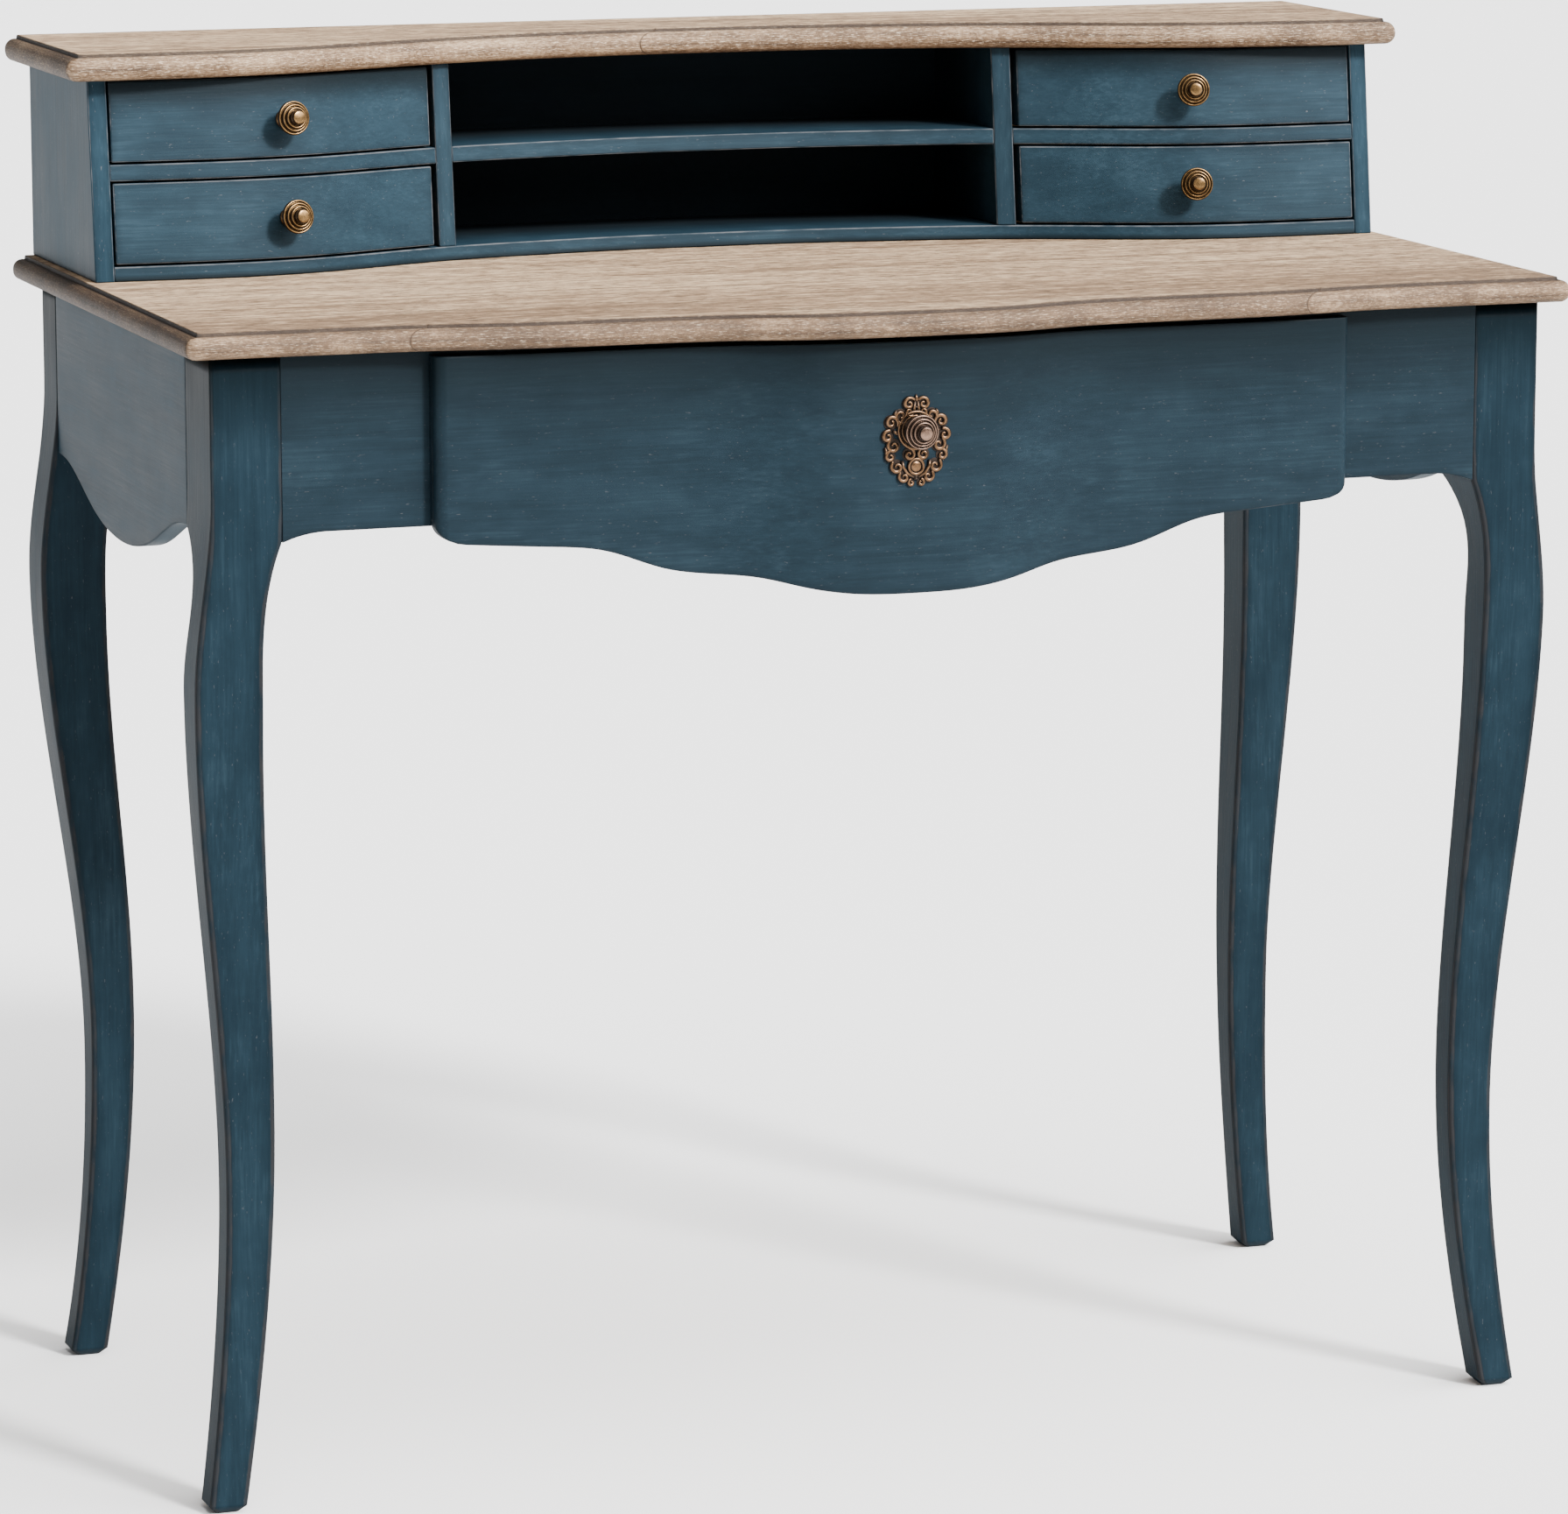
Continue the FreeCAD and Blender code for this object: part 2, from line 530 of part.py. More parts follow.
def write_small_drawer(name, sign, z0, z1, knob_z):
    """Inset drawer between a hutch side and a divider, filling the opening z0 to z1."""
    inner_x = DIVIDER_OUTER_X
    outer_x = HUTCH_INNER_X
    shell = hutch_envelope().cut(hutch_envelope(SMALL_FRONT_THICKNESS))
    front = shell.common(box(inner_x + INNER_REVEAL, outer_x - REVEAL, 0, FAR,
                             z0 + REVEAL, z1 - REVEAL))
    behind_front = hutch_envelope(SMALL_FRONT_THICKNESS)
    box_in = inner_x + SMALL_SIDE_GAP
    box_out = outer_x - SMALL_SIDE_GAP
    bottom_z = z0 + SMALL_BOX_LIFT
    top_z = z1 - SMALL_SIDE_DROP
    back_y = BACK_PANEL_Y - SMALL_BACK_GAP
    panel_z = bottom_z + SMALL_PANEL_LIFT
    groove = SMALL_WALL - SMALL_GROOVE
    panel = hutch_envelope(SMALL_FRONT_THICKNESS - SMALL_GROOVE).common(
        box(box_in + groove, box_out - groove, 0, back_y, panel_z, panel_z + SMALL_PANEL_THICKNESS))
    sides = [behind_front.common(box(x, x + SMALL_WALL, 0, back_y, bottom_z, top_z)).cut(panel)
             for x in (box_in, box_out - SMALL_WALL)]
    back = box(box_in + SMALL_WALL, box_out - SMALL_WALL, back_y - SMALL_WALL, back_y,
               panel_z + SMALL_PANEL_THICKNESS, top_z)
    face, outward = hutch_face_at(SMALL_KNOB_X, knob_z)
    bolt = knob_bolt(face, outward, SMALL_FRONT_THICKNESS)
    save(name + "_front", on_side(front.cut(panel).cut(bolt), sign))
    save(name + "_sides", *[on_side(side, sign) for side in sides])
    save(name + "_back", on_side(back, sign))
    save(name + "_bottom", on_side(panel, sign))
    turned = knob(face, outward, SMALL_KNOB_RIM_BACK).cut(bolt)
    save(name + "_knob", on_side(turned, sign))
    save(name + "_knob_bolt", on_side(bolt, sign))


def write_small_drawers():
    floor_z = WRITING_HEIGHT + HUTCH_BOARD
    tiers = (("lower", floor_z, SHELF_Z, LOWER_KNOB_Z),
             ("upper", SHELF_Z + SHELF_THICKNESS, HUTCH_TOP_UNDERSIDE, UPPER_KNOB_Z))
    for tier, z0, z1, knob_z in tiers:
        for side, sign in (("left", -1), ("right", 1)):
            write_small_drawer(tier + "_" + side + "_drawer", sign, z0, z1, knob_z)


# Table frame

def all_wood_screws():
    """Screws into the tops: through the corner blocks, the upper rail and the desk top."""
    block_z = LEG_TOP - CORNER_BLOCK_HEIGHT
    block_x = POST_OUTER_X - SIDE_APRON_THICKNESS - CORNER_BLOCK_SIDE / 3
    front_y = FRONT_POST_DEPTH + CORNER_BLOCK_SIDE / 3
    rear_y = BACK_POST_FRONT_Y - CORNER_BLOCK_SIDE / 3
    rail_y = APRON_THICKNESS + RAIL_DEPTH / 2
    screws = []
    for side in (-1, 1):
        screws += [wood_screw(side * block_x, y, block_z, CORNER_BLOCK_HEIGHT + SCREW_BITE)
                   for y in (front_y, rear_y)]
        screws.append(wood_screw(side * OPENING_HALF_WIDTH / 2, rail_y, UPPER_RAIL_BOTTOM,
                                 LEG_TOP - UPPER_RAIL_BOTTOM + SCREW_BITE))
        screws += [wood_screw(side * x, y, LEG_TOP, HUTCH_SCREW_LENGTH)
                   for x, y in HUTCH_SCREWS]
    return screws


def write_table(screws):
    legs = {"front": leg(FRONT_LEG_INNER, FRONT_LEG_OUTER, FRONT_LEG_FRONT, FRONT_LEG_BACK),
            "back": leg(BACK_LEG_INNER, BACK_LEG_OUTER, BACK_LEG_FRONT, BACK_LEG_BACK)}
    blocks = [corner_block(FRONT_POST_DEPTH, 1), corner_block(BACK_POST_FRONT_Y, -1)]
    blocks += [mirrored(block) for block in blocks]
    desk_top = moulded_top(DESK_NOSE, LEG_TOP, DESK_TOP_THICKNESS)
    back_apron = box(-POST_INNER_X, POST_INNER_X, BACK_APRON_Y, BACK_APRON_Y + APRON_THICKNESS,
                     POST_BOTTOM, LEG_TOP)
    save("desk_top", desk_top.cut(screws))
    save("back_apron", back_apron)
    save("drawer_rail_upper", drawer_rail(UPPER_RAIL_BOTTOM, LEG_TOP).cut(screws))
    save("drawer_rail_lower", drawer_rail(LOWER_RAIL_BOTTOM, RUNNER_TOP))
    save("drawer_kickers", drawer_kicker(), mirrored(drawer_kicker()))
    save("corner_blocks", *[block.cut(screws) for block in blocks])
    for name, sign in (("left", -1), ("right", 1)):
        for row, shape in legs.items():
            save("leg_" + row + "_" + name, on_side(shape, sign))
        save("front_apron_" + name, on_side(front_apron(), sign))
        save("side_apron_" + name, on_side(side_apron(), sign))
        save("drawer_runner_" + name, on_side(drawer_runner(), sign))


def main():
    os.makedirs("parts", exist_ok=True)
    screws = all_wood_screws()
    all_screws = Part.makeCompound(screws)
    write_table(all_screws)
    write_wide_drawer()
    write_hutch(all_screws)
    write_small_drawers()
    save("wood_screws", *screws)


main()
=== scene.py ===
import math

import bmesh
import bpy
import numpy as np
from bpy.props import FloatProperty, FloatVectorProperty, IntProperty, PointerProperty
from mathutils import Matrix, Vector, noise


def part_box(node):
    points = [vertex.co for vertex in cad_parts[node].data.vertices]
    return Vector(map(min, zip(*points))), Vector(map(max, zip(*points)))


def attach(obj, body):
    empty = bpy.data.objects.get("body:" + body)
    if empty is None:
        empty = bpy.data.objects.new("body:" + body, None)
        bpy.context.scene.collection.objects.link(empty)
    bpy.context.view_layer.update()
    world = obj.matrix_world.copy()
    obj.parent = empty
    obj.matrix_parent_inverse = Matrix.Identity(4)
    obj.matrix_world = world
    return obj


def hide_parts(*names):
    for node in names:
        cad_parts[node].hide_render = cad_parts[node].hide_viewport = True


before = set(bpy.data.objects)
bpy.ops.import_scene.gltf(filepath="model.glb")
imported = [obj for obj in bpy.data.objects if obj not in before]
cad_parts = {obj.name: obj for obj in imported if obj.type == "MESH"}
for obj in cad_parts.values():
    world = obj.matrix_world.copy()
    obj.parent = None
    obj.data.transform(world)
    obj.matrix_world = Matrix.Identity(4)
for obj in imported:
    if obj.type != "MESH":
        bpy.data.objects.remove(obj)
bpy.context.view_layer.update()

bl_info = {
    "name": "Secretary Desk",
    "version": (1, 0, 0),
    "blender": (4, 5, 0),
    "location": "3D View > Sidebar > Desk",
    "description": "Finishes of a painted serpentine desk with a drawer hutch",
    "category": "Object",
}

# Metres. X runs right, Y to the back, Z up, and the floor is at Z 0.
# Plan curves are written in millimetres behind the front posts, as the joiner draws them.
FRONT_PLANE = -0.2025
MM = 0.001

POST_OUTER, POST_INNER = 0.461, 0.415
POST_BOTTOM, FLANK_BOTTOM, FLANK_TURN = 0.641, 0.647, 0.385
FRONT_POST_BACK = 0.062 + FRONT_PLANE
BACK_POST_FRONT = 0.4146 + FRONT_PLANE
OPENING_HALF_WIDTH = 0.297
SIDE_APRON_INNER = 0.447
FRONT_APRON_THICKNESS = 0.020
BACK_APRON = (0.432 + FRONT_PLANE, 0.452 + FRONT_PLANE)
DESK_TOP_THICKNESS, HUTCH_TOP_THICKNESS = 0.017, 0.018
OAK_BOARD_WIDTH, MOULDING_PIECE = 0.071, 0.62
LEG_TOP = 0.761
WRITING_HEIGHT = 0.778
HUTCH_TOP_UNDERSIDE = 0.912
BACK = 0.462 + FRONT_PLANE
HUTCH_OUTER, HUTCH_INNER = 0.465, 0.452
DIVIDER_INNER, DIVIDER_OUTER = 0.199, 0.212
HUTCH_FLOOR = 0.788
SHELF, SHELF_TOP = 0.8445, 0.8555
HUTCH_LEAN = 0.119
HUTCH_PANEL = 0.457 + FRONT_PLANE
SMALL_KNOB_X = 0.330
DRAWER_FRONT_THICKNESS = 0.015
KNOB_HEIGHTS = {"lower": 0.8165, "upper": 0.882}
MAIN_KNOB_HEIGHT = 0.699
PLATE_THICKNESS = 0.002
FACE_CENTRE = -0.036 + FRONT_PLANE
FACE_BACK = -0.001 + FRONT_PLANE
FACE_HALF_WIDTH = 0.3173
FACE_END_RADIUS = 0.008
FACE_TOP = 0.757

DESK_NOSE = [(0, -51), (45, -50), (80, -45.5), (110, -37), (150, -31.5), (231, -29.5),
             (276, -26.5), (320, -19.5), (360, -17), (479.5, -17)]
HUTCH_NOSE = [(0, 362), (60, 360.5), (120, 353.5), (200, 335), (250, 317), (300, 298),
              (370, 281.5), (420, 277), (482, 276)]
HUTCH_FRONT = [(0, 353), (60, 352), (120, 345), (200, 330), (250, 312), (300, 292),
               (345, 281.5), (400, 278.5), (465, 280.5)]
DRAWER_FACE = [(0, -36), (35, -35.5), (70, -31.5), (100, -24.5), (135, -19),
               (200, -17), (270, -15.5), (317.3, -14.1)]
DRAWER_LOWER_EDGE = [(0, 592), (45, 593.8), (75, 599), (102, 605.5), (135, 609.3), (165, 614),
                     (205, 627.5), (240, 631.8), (300, 636)]
SIDE_LOWER_EDGE = [(0, 609.5), (38, 612), (78, 620.5), (118, 634.5), (152, 644), (176.3, 646)]

# Leg outlines as (height, distance, slope) knots: across the desk from its middle plane,
# and in depth from the front plane.
FRONT_LEG = {
    "outer": [(5, 467.5, -0.15), (210, 450.5, 0), (545, 472.2, 0), (670, 461, 0)],
    "inner": [(5, 442.5, -0.18), (245, 418.3, 0), (525, 427.5, 0), (641, 415, -0.4)],
    "front": [(5, 17.5, 0.1), (175, 27, 0), (650, 0, 0)],
    "back": [(5, 43.5, 0.08), (170, 52, 0), (545, 37.5, 0), (647, 62, 1.4)],
}
BACK_LEG = {
    "outer": [(5, 462.5, -0.15), (225, 447, 0), (560, 474, 0), (690, 461, 0)],
    "inner": [(5, 436.5, -0.15), (245, 416.5, 0), (525, 428.5, 0), (641, 415, -0.4)],
    "front": [(5, 420, -0.08), (290, 405, 0), (560, 416, 0), (641, 414.6, 0)],
    "back": [(5, 446, -0.15), (200, 433, 0), (585, 457.5, 0), (705, 454.6, 0)],
}
# In mm: the chamfer under a foot, and the height where the posts' corners turn sharper.
FOOT_CHAMFER, SHARPER_ABOVE = 5, 640
# Wood screws on each side, as (x, y, height of the head, length).
WOOD_SCREWS = [(431, 78, 711, 59), (431, 398.6, 711, 59), (148.5, 35, 743, 27),
               (400, 340, 761, 25), (400, 435, 761, 25), (140, 400, 761, 25)]
# Painted shade: the same paint is made a little darker on the table than on the hutch, and darker
# still on the rails.
LOWER_SHADE_TONE, LEG_SHADE_TONE, RAIL_SHADE_TONE = 0.54, 0.58, 0.4
# Heights between which the paint is darkened as painted shade: under the two mouldings, and as a
# painted contact shadow low on the shelves.
TABLE_SHADE = (0.688, 0.764)
HUTCH_SHADE = (0.886, 0.907)
SHELF_SHADE = (0.7832, 0.7788)
SIDES = (("left", -1), ("right", 1))


def srgb(red, green, blue):
    """Scene-linear colour of a paint chip read as three 0-255 numbers."""
    steps = [value / 255 for value in (red, green, blue)]
    return tuple(s / 12.92 if s <= 0.04045 else ((s + 0.055) / 1.055) ** 2.4 for s in steps)


def swatch(name, description, default):
    return FloatVectorProperty(name=name, description=description, default=default,
                               subtype="COLOR", size=3, min=0, max=1)


def measure(name, description, default):
    return FloatProperty(name=name, description=description, default=default,
                         unit="LENGTH", subtype="DISTANCE", min=0)


def scaled(colour, share):
    return tuple(channel * share for channel in colour)


# Settings

class DeskSizes(bpy.types.PropertyGroup):
    edge_round: measure("Edge rounding", "Rounding of the boards' edges", 0.0011)
    leg_round: measure("Leg rounding", "Rounding of the legs' long corners", 0.0022)
    curve_step: measure("Curve step", "Distance between mesh points along a curved board", 0.006)
    nose_step: measure("Moulding step", "Distance between mesh points along a moulding", 0.0035)
    nose_wear: measure("Moulding wear", "Deepest dent worn into a moulding", 0.00035)
    wire: measure("Scroll wire", "Thickness of the backplate's scrolls", 0.0027)
    knob_sides: IntProperty(name="Knob sides", description="Facets around a turned knob",
                            default=64, min=16, max=128)


class DeskColours(bpy.types.PropertyGroup):
    paint: swatch("Paint", "Main colour of the chalk paint", srgb(27, 45, 55))
    paint_deep: swatch("Deep paint", "Paint where it lies thick", srgb(19, 35, 44))
    paint_pale: swatch("Pale paint", "Paint brushed thin", srgb(39, 57, 67))
    paint_worn: swatch("Worn edge", "Primer and wood at rubbed edges", srgb(96, 96, 98))
    # Near-black of the painted shade under the mouldings and of the painted contact shadow on the
    # shelves.
    grime_and_shade: swatch("Grime", "Dark dirt under the mouldings", srgb(3, 12, 16))
    # Near-black laid deeper into the pigeonholes: painted shade in the recesses.
    recess_shade: swatch("Pigeonhole", "Dark paint deep in the pigeonholes", srgb(3, 6, 8))
    paint_brown: swatch("Brown wear", "Wood showing along the legs' corners", srgb(66, 56, 50))
    oak: swatch("Oak", "Greyed oak of the tops", srgb(127, 104, 81))
    oak_dark: swatch("Oak grain", "Dark grain of the oak", srgb(90, 70, 52))
    oak_pore: swatch("Oak pores", "Nearly black pores and joints", srgb(56, 42, 31))
    oak_lime: swatch("Liming", "Limed surface of the oak", srgb(170, 147, 118))
    oak_wax: swatch("White wax", "White wax caught in the moulding", srgb(200, 182, 160))
    box_wood: swatch("Box wood", "Plain wood of the drawer boxes", srgb(196, 160, 116))
    # Painted shade in the quirk and the step up to the field.
    quirk: swatch("Quirk", "Dirt in the groove beside the moulding", srgb(34, 24, 17))
    # Painted shade along the nose where it turns under.
    under: swatch("Underside", "Dirt along the moulding's lower edge", srgb(52, 40, 31))
    gold: swatch("Brass", "Rubbed brass of the small knobs", srgb(146, 114, 74))
    rose: swatch("Dark brass", "Rubbed brass of the wide drawer's knob", srgb(134, 108, 92))
    cast: swatch("Cast brass", "Brass of the backplate", srgb(122, 92, 66))
    # Dark brass: oxide in the hollows, and the painted shade behind the backplate's scrolls.
    patina_and_shade: swatch("Patina", "Dark brass in the hollows", srgb(24, 15, 10))


# Shader maths

def maths(operation, swapped=False):
    """Method that joins a Value with another number in one maths node."""
    def join(self, other=0.0):
        pair = (other, self) if swapped else (self, other)
        return self.finish.node("ShaderNodeMath", {"operation": operation}, dict(enumerate(pair)))
    return join


class Value:
    """A number on its way through a material, so that shader maths reads as maths."""

    __add__, __radd__ = maths("ADD"), maths("ADD", True)
    __sub__, __rsub__ = maths("SUBTRACT"), maths("SUBTRACT", True)
    __mul__, __rmul__ = maths("MULTIPLY"), maths("MULTIPLY", True)
    __truediv__ = maths("DIVIDE")
    least, floor = maths("MINIMUM"), maths("FLOOR")
    fraction, size = maths("FRACT"), maths("ABSOLUTE")

    def __init__(self, finish, socket):
        self.finish = finish
        self.socket = socket

    def ramp(self, low, high):
        """0 below low, 1 above high and smooth between; low may be the greater."""
        return self.finish.node("ShaderNodeMapRange", {"interpolation_type": "SMOOTHSTEP"},
                                {"Value": self, "From Min": low, "From Max": high})


class Finish:
    """One material and the nodes that make it."""

    def __init__(self, name, **shader):
        self.material = bpy.data.materials.new(name)
        self.material.use_nodes = True
        self.tree = self.material.node_tree
        self.tree.nodes.clear()
        self.shader = self.tree.nodes.new("ShaderNodeBsdfPrincipled")
        output = self.tree.nodes.new("ShaderNodeOutputMaterial")
        self.tree.links.new(self.shader.outputs[0], output.inputs[0])
        for socket, value in shader.items():
            self.shader.inputs[socket.replace("_", " ")].default_value = value
        self.place = self.node("ShaderNodeTexCoord", output="Object")

    def node(self, kind, settings=None, inputs=None, output=0):
        """Any node: its settings first, then the values or links of its sockets."""
        made = self.tree.nodes.new(kind)
        for key, setting in (settings or {}).items():
            setattr(made, key, setting)
        for key, value in (inputs or {}).items():
            self.feed(made.inputs[key], value)
        return Value(self, made.outputs[output])

    def gradient(self, share, *stops):
        """Colour that runs through stops of (position, colour)."""
        made = self.node("ShaderNodeValToRGB", inputs={0: share})
        ramp = made.socket.node.color_ramp
        while len(ramp.elements) < len(stops):
            ramp.elements.new(1.0)
        for element, (position, colour) in zip(ramp.elements, stops):
            element.position = position
            element.color = (*colour, 1.0)
        return made

    def feed(self, socket, value):
        """Link a value to a socket, or set the socket to a number, a vector or a colour."""
        if isinstance(value, Value):
            self.tree.links.new(value.socket, socket)
        else:
            socket.default_value = (*value, 1.0) if socket.type == "RGBA" else value

    def noise(self, scale, detail=3.0, shift=(0, 0, 0), vector=None, roughness=0.55,
              distortion=0.0):
        """Cloudy pattern with a scale for each axis, or with one scale for all."""
        place = vector or self.place
        if isinstance(scale, tuple):
            place = self.node("ShaderNodeMapping", inputs={"Vector": place, "Scale": scale,
                                                           "Location": shift})
            scale = 1.0
        return self.node("ShaderNodeTexNoise", inputs={
            "Vector": place, "Scale": scale, "Detail": detail, "Roughness": roughness,
            "Distortion": distortion})

    def mix(self, factor, first, second):
        return self.node("ShaderNodeMix", {"data_type": "RGBA"},
                         {0: factor, 6: first, 7: second}, output=2)

    def layers(self, colour, *shades):
        """Colour with shades laid over it in turn, each as (cover, colour)."""
        for cover, shade in shades:
            colour = self.mix(cover, colour, shade)
        return colour

    def parts(self, vector):
        """The x, y and z of a vector."""
        split = self.node("ShaderNodeSeparateXYZ", inputs={0: vector})
        outputs = split.socket.node.outputs
        return [Value(self, outputs[index]) for index in range(3)]

    def sheet(self, name):
        """The two numbers stored on a piece's surface under a name."""
        return self.parts(self.node("ShaderNodeUVMap", {"uv_map": name}))[:2]

    def edge_distance(self, joined=None):
        """Distance over a face to its nearest edge, without the ends joined along x or z."""
        across, along_it = self.sheet("Place")
        width, height = self.sheet("Span")
        sides = across.least(width - across)
        ends = along_it.least(height - along_it)
        return {"x": ends, "z": sides, None: sides.least(ends)}[joined]

    def attribute(self, name):
        return self.node("ShaderNodeAttribute", {"attribute_name": name}, output="Fac")

    def paint(self, colour, rough, height=None, depth=0.0002):
        self.feed(self.shader.inputs["Base Color"], colour)
        self.feed(self.shader.inputs["Roughness"], rough)
        if height is not None:
            bump = self.node("ShaderNodeBump", inputs={"Height": height, "Distance": depth,
                                                       "Strength": 1.0})
            self.feed(self.shader.inputs["Normal"], bump)
        return self.material


def along(axis, run, across):
    """Scales that stretch a pattern along one axis."""
    return tuple(run if name == axis else across for name in "xyz")


def chalk_paint(name, brush, colours, tone=1.0, rubbed=1.0, bare=0.8, brown=False, recess_shade=False,
                shaded_band=None, gloss=0.11, joined=None):
    """Brushed chalk paint: streaks, clouds, dark corners and a thin rubbed line at the edges.

    The pair of heights for the shaded band marks where the paint is darkened as painted shade, as
    under a moulding.
    """
    finish = Finish(name, IOR=1.45, Specular_IOR_Level=gloss)

    streaks = finish.noise(along(brush, 16, 560), 4, roughness=0.65)
    strokes = finish.noise(along(brush, 5, 85), 3, (3, 5, 7))
    clouds = finish.noise(along(brush, 12, 24), 4, roughness=0.6)
    patches = finish.noise(42, 3, roughness=0.6)
    specks = finish.noise(along(brush, 260, 1100), 2, (1, 2, 3))
    depth = streaks * 0.35 + strokes * 0.35 + clouds * 0.55 + patches * 0.2
    base = finish.mix(depth.ramp(0.55, 0.88), scaled(colours.paint_deep, tone),
                      scaled(colours.paint, tone))
    pale = (streaks * 0.4 + clouds * 0.4 + patches * 0.2).ramp(0.52, 0.68) * 0.6
    base = finish.mix(pale, base, scaled(colours.paint_pale, tone))
    base = finish.mix(specks.ramp(0.69, 0.74) * 0.4, base, scaled(colours.paint_worn, tone))
    height = streaks * 0.6 + strokes * 0.5 + patches * 0.4
    rough = 0.34 + streaks * 0.14 + clouds * 0.16
    if rubbed:
        distance = finish.edge_distance(joined)
        ragged = finish.noise(along(brush, 45, 160), 4, (9, 4, 2))
        # A darker rim along each face's edges: dark joints, and painted shade where the boards
        # meet.
        grime_and_shade = (distance + ragged * 0.004).ramp(0.008, 0.0015) * 0.4
        base = finish.mix(grime_and_shade, base, scaled(colours.paint_deep, 0.45 * tone))
        line = (distance - (ragged - 0.5) * 0.0012 * rubbed).ramp(0.0009 * rubbed, 0.0002)
        wood = colours.paint_brown if brown else colours.paint_worn
        base = finish.mix(line * (ragged.ramp(0.30, 0.62) * 0.75 + 0.25) * bare, base,
                          scaled(wood, tone))
        rough = rough + line * 0.15
        height = height - line * 1.5
    # Painted shade: darken the paint between the band's two heights.
    if shaded_band:
        painted_shade = finish.parts(finish.place)[2].ramp(*shaded_band) * (0.6 + clouds * 0.5)
        base = finish.mix(painted_shade.least(1.0), base, colours.grime_and_shade)
    # Painted shade: the paint turns near-black as the stored inward depth grows, deep in the
    # pigeonholes.
    if recess_shade:
        inside = finish.attribute("inward").ramp(0.002, 0.080)
        base = finish.mix(inside * 0.84, base, colours.recess_shade)
        rough = rough + inside * 0.35
    return finish.paint(base, rough, height, 0.00018)


def oak_board(name, colours):
    """Greyed oak boards running across the desk, with dark pores and traces of white wax."""
    finish = Finish(name, IOR=1.45, Specular_IOR_Level=0.25)
    depth = finish.parts(finish.place)[1] + 0.5
    board = (depth / OAK_BOARD_WIDTH).floor()
    tint = finish.node("ShaderNodeTexWhiteNoise", {"noise_dimensions": "1D"}, {"W": board})
    shift = finish.node("ShaderNodeCombineXYZ", inputs={0: board * 3.7, 1: board * 1.3})
    moved = finish.node("ShaderNodeVectorMath", {"operation": "ADD"}, {0: finish.place, 1: shift})
    wave = finish.noise((1.6, 16, 16), 3, vector=moved)
    figure = finish.noise((3.0, 150, 150), 5, vector=moved, roughness=0.62, distortion=0.3)
    dashes = finish.noise((46, 150, 150), 4, (5, 1, 3), moved, 0.7)
    fibre = finish.noise((130, 380, 380), 3, vector=moved, roughness=0.75)
    pores = finish.noise((85, 620, 620), 3, (2, 6, 1), moved)
    tone = figure * 0.40 + dashes * 0.5 + fibre * 0.5 + wave * 0.2 + tint * 0.10
    colour = finish.gradient(tone.ramp(0.63, 1.05), (0.0, colours.oak_dark),
                             (0.5, colours.oak), (1.0, colours.oak_lime))
    joint = ((depth / OAK_BOARD_WIDTH).fraction() - 0.5).size().ramp(0.486, 0.499)
    colour = finish.layers(colour, (pores.ramp(0.44, 0.34) * 0.85, colours.oak_pore),
                           (figure.ramp(0.44, 0.34) * 0.6, colours.oak_dark),
                           (dashes.ramp(0.58, 0.70) * 0.6, colours.oak_lime),
                           (joint * 0.5 * dashes.ramp(0.3, 0.6), colours.oak_pore))
    rough = 0.58 + fibre * 0.15
    height = dashes * 0.6 + fibre * 0.5 + figure * 0.3 - pores.ramp(0.42, 0.33) * 0.8 - joint * 0.8
    return finish.paint(colour, rough, height, 0.0005)


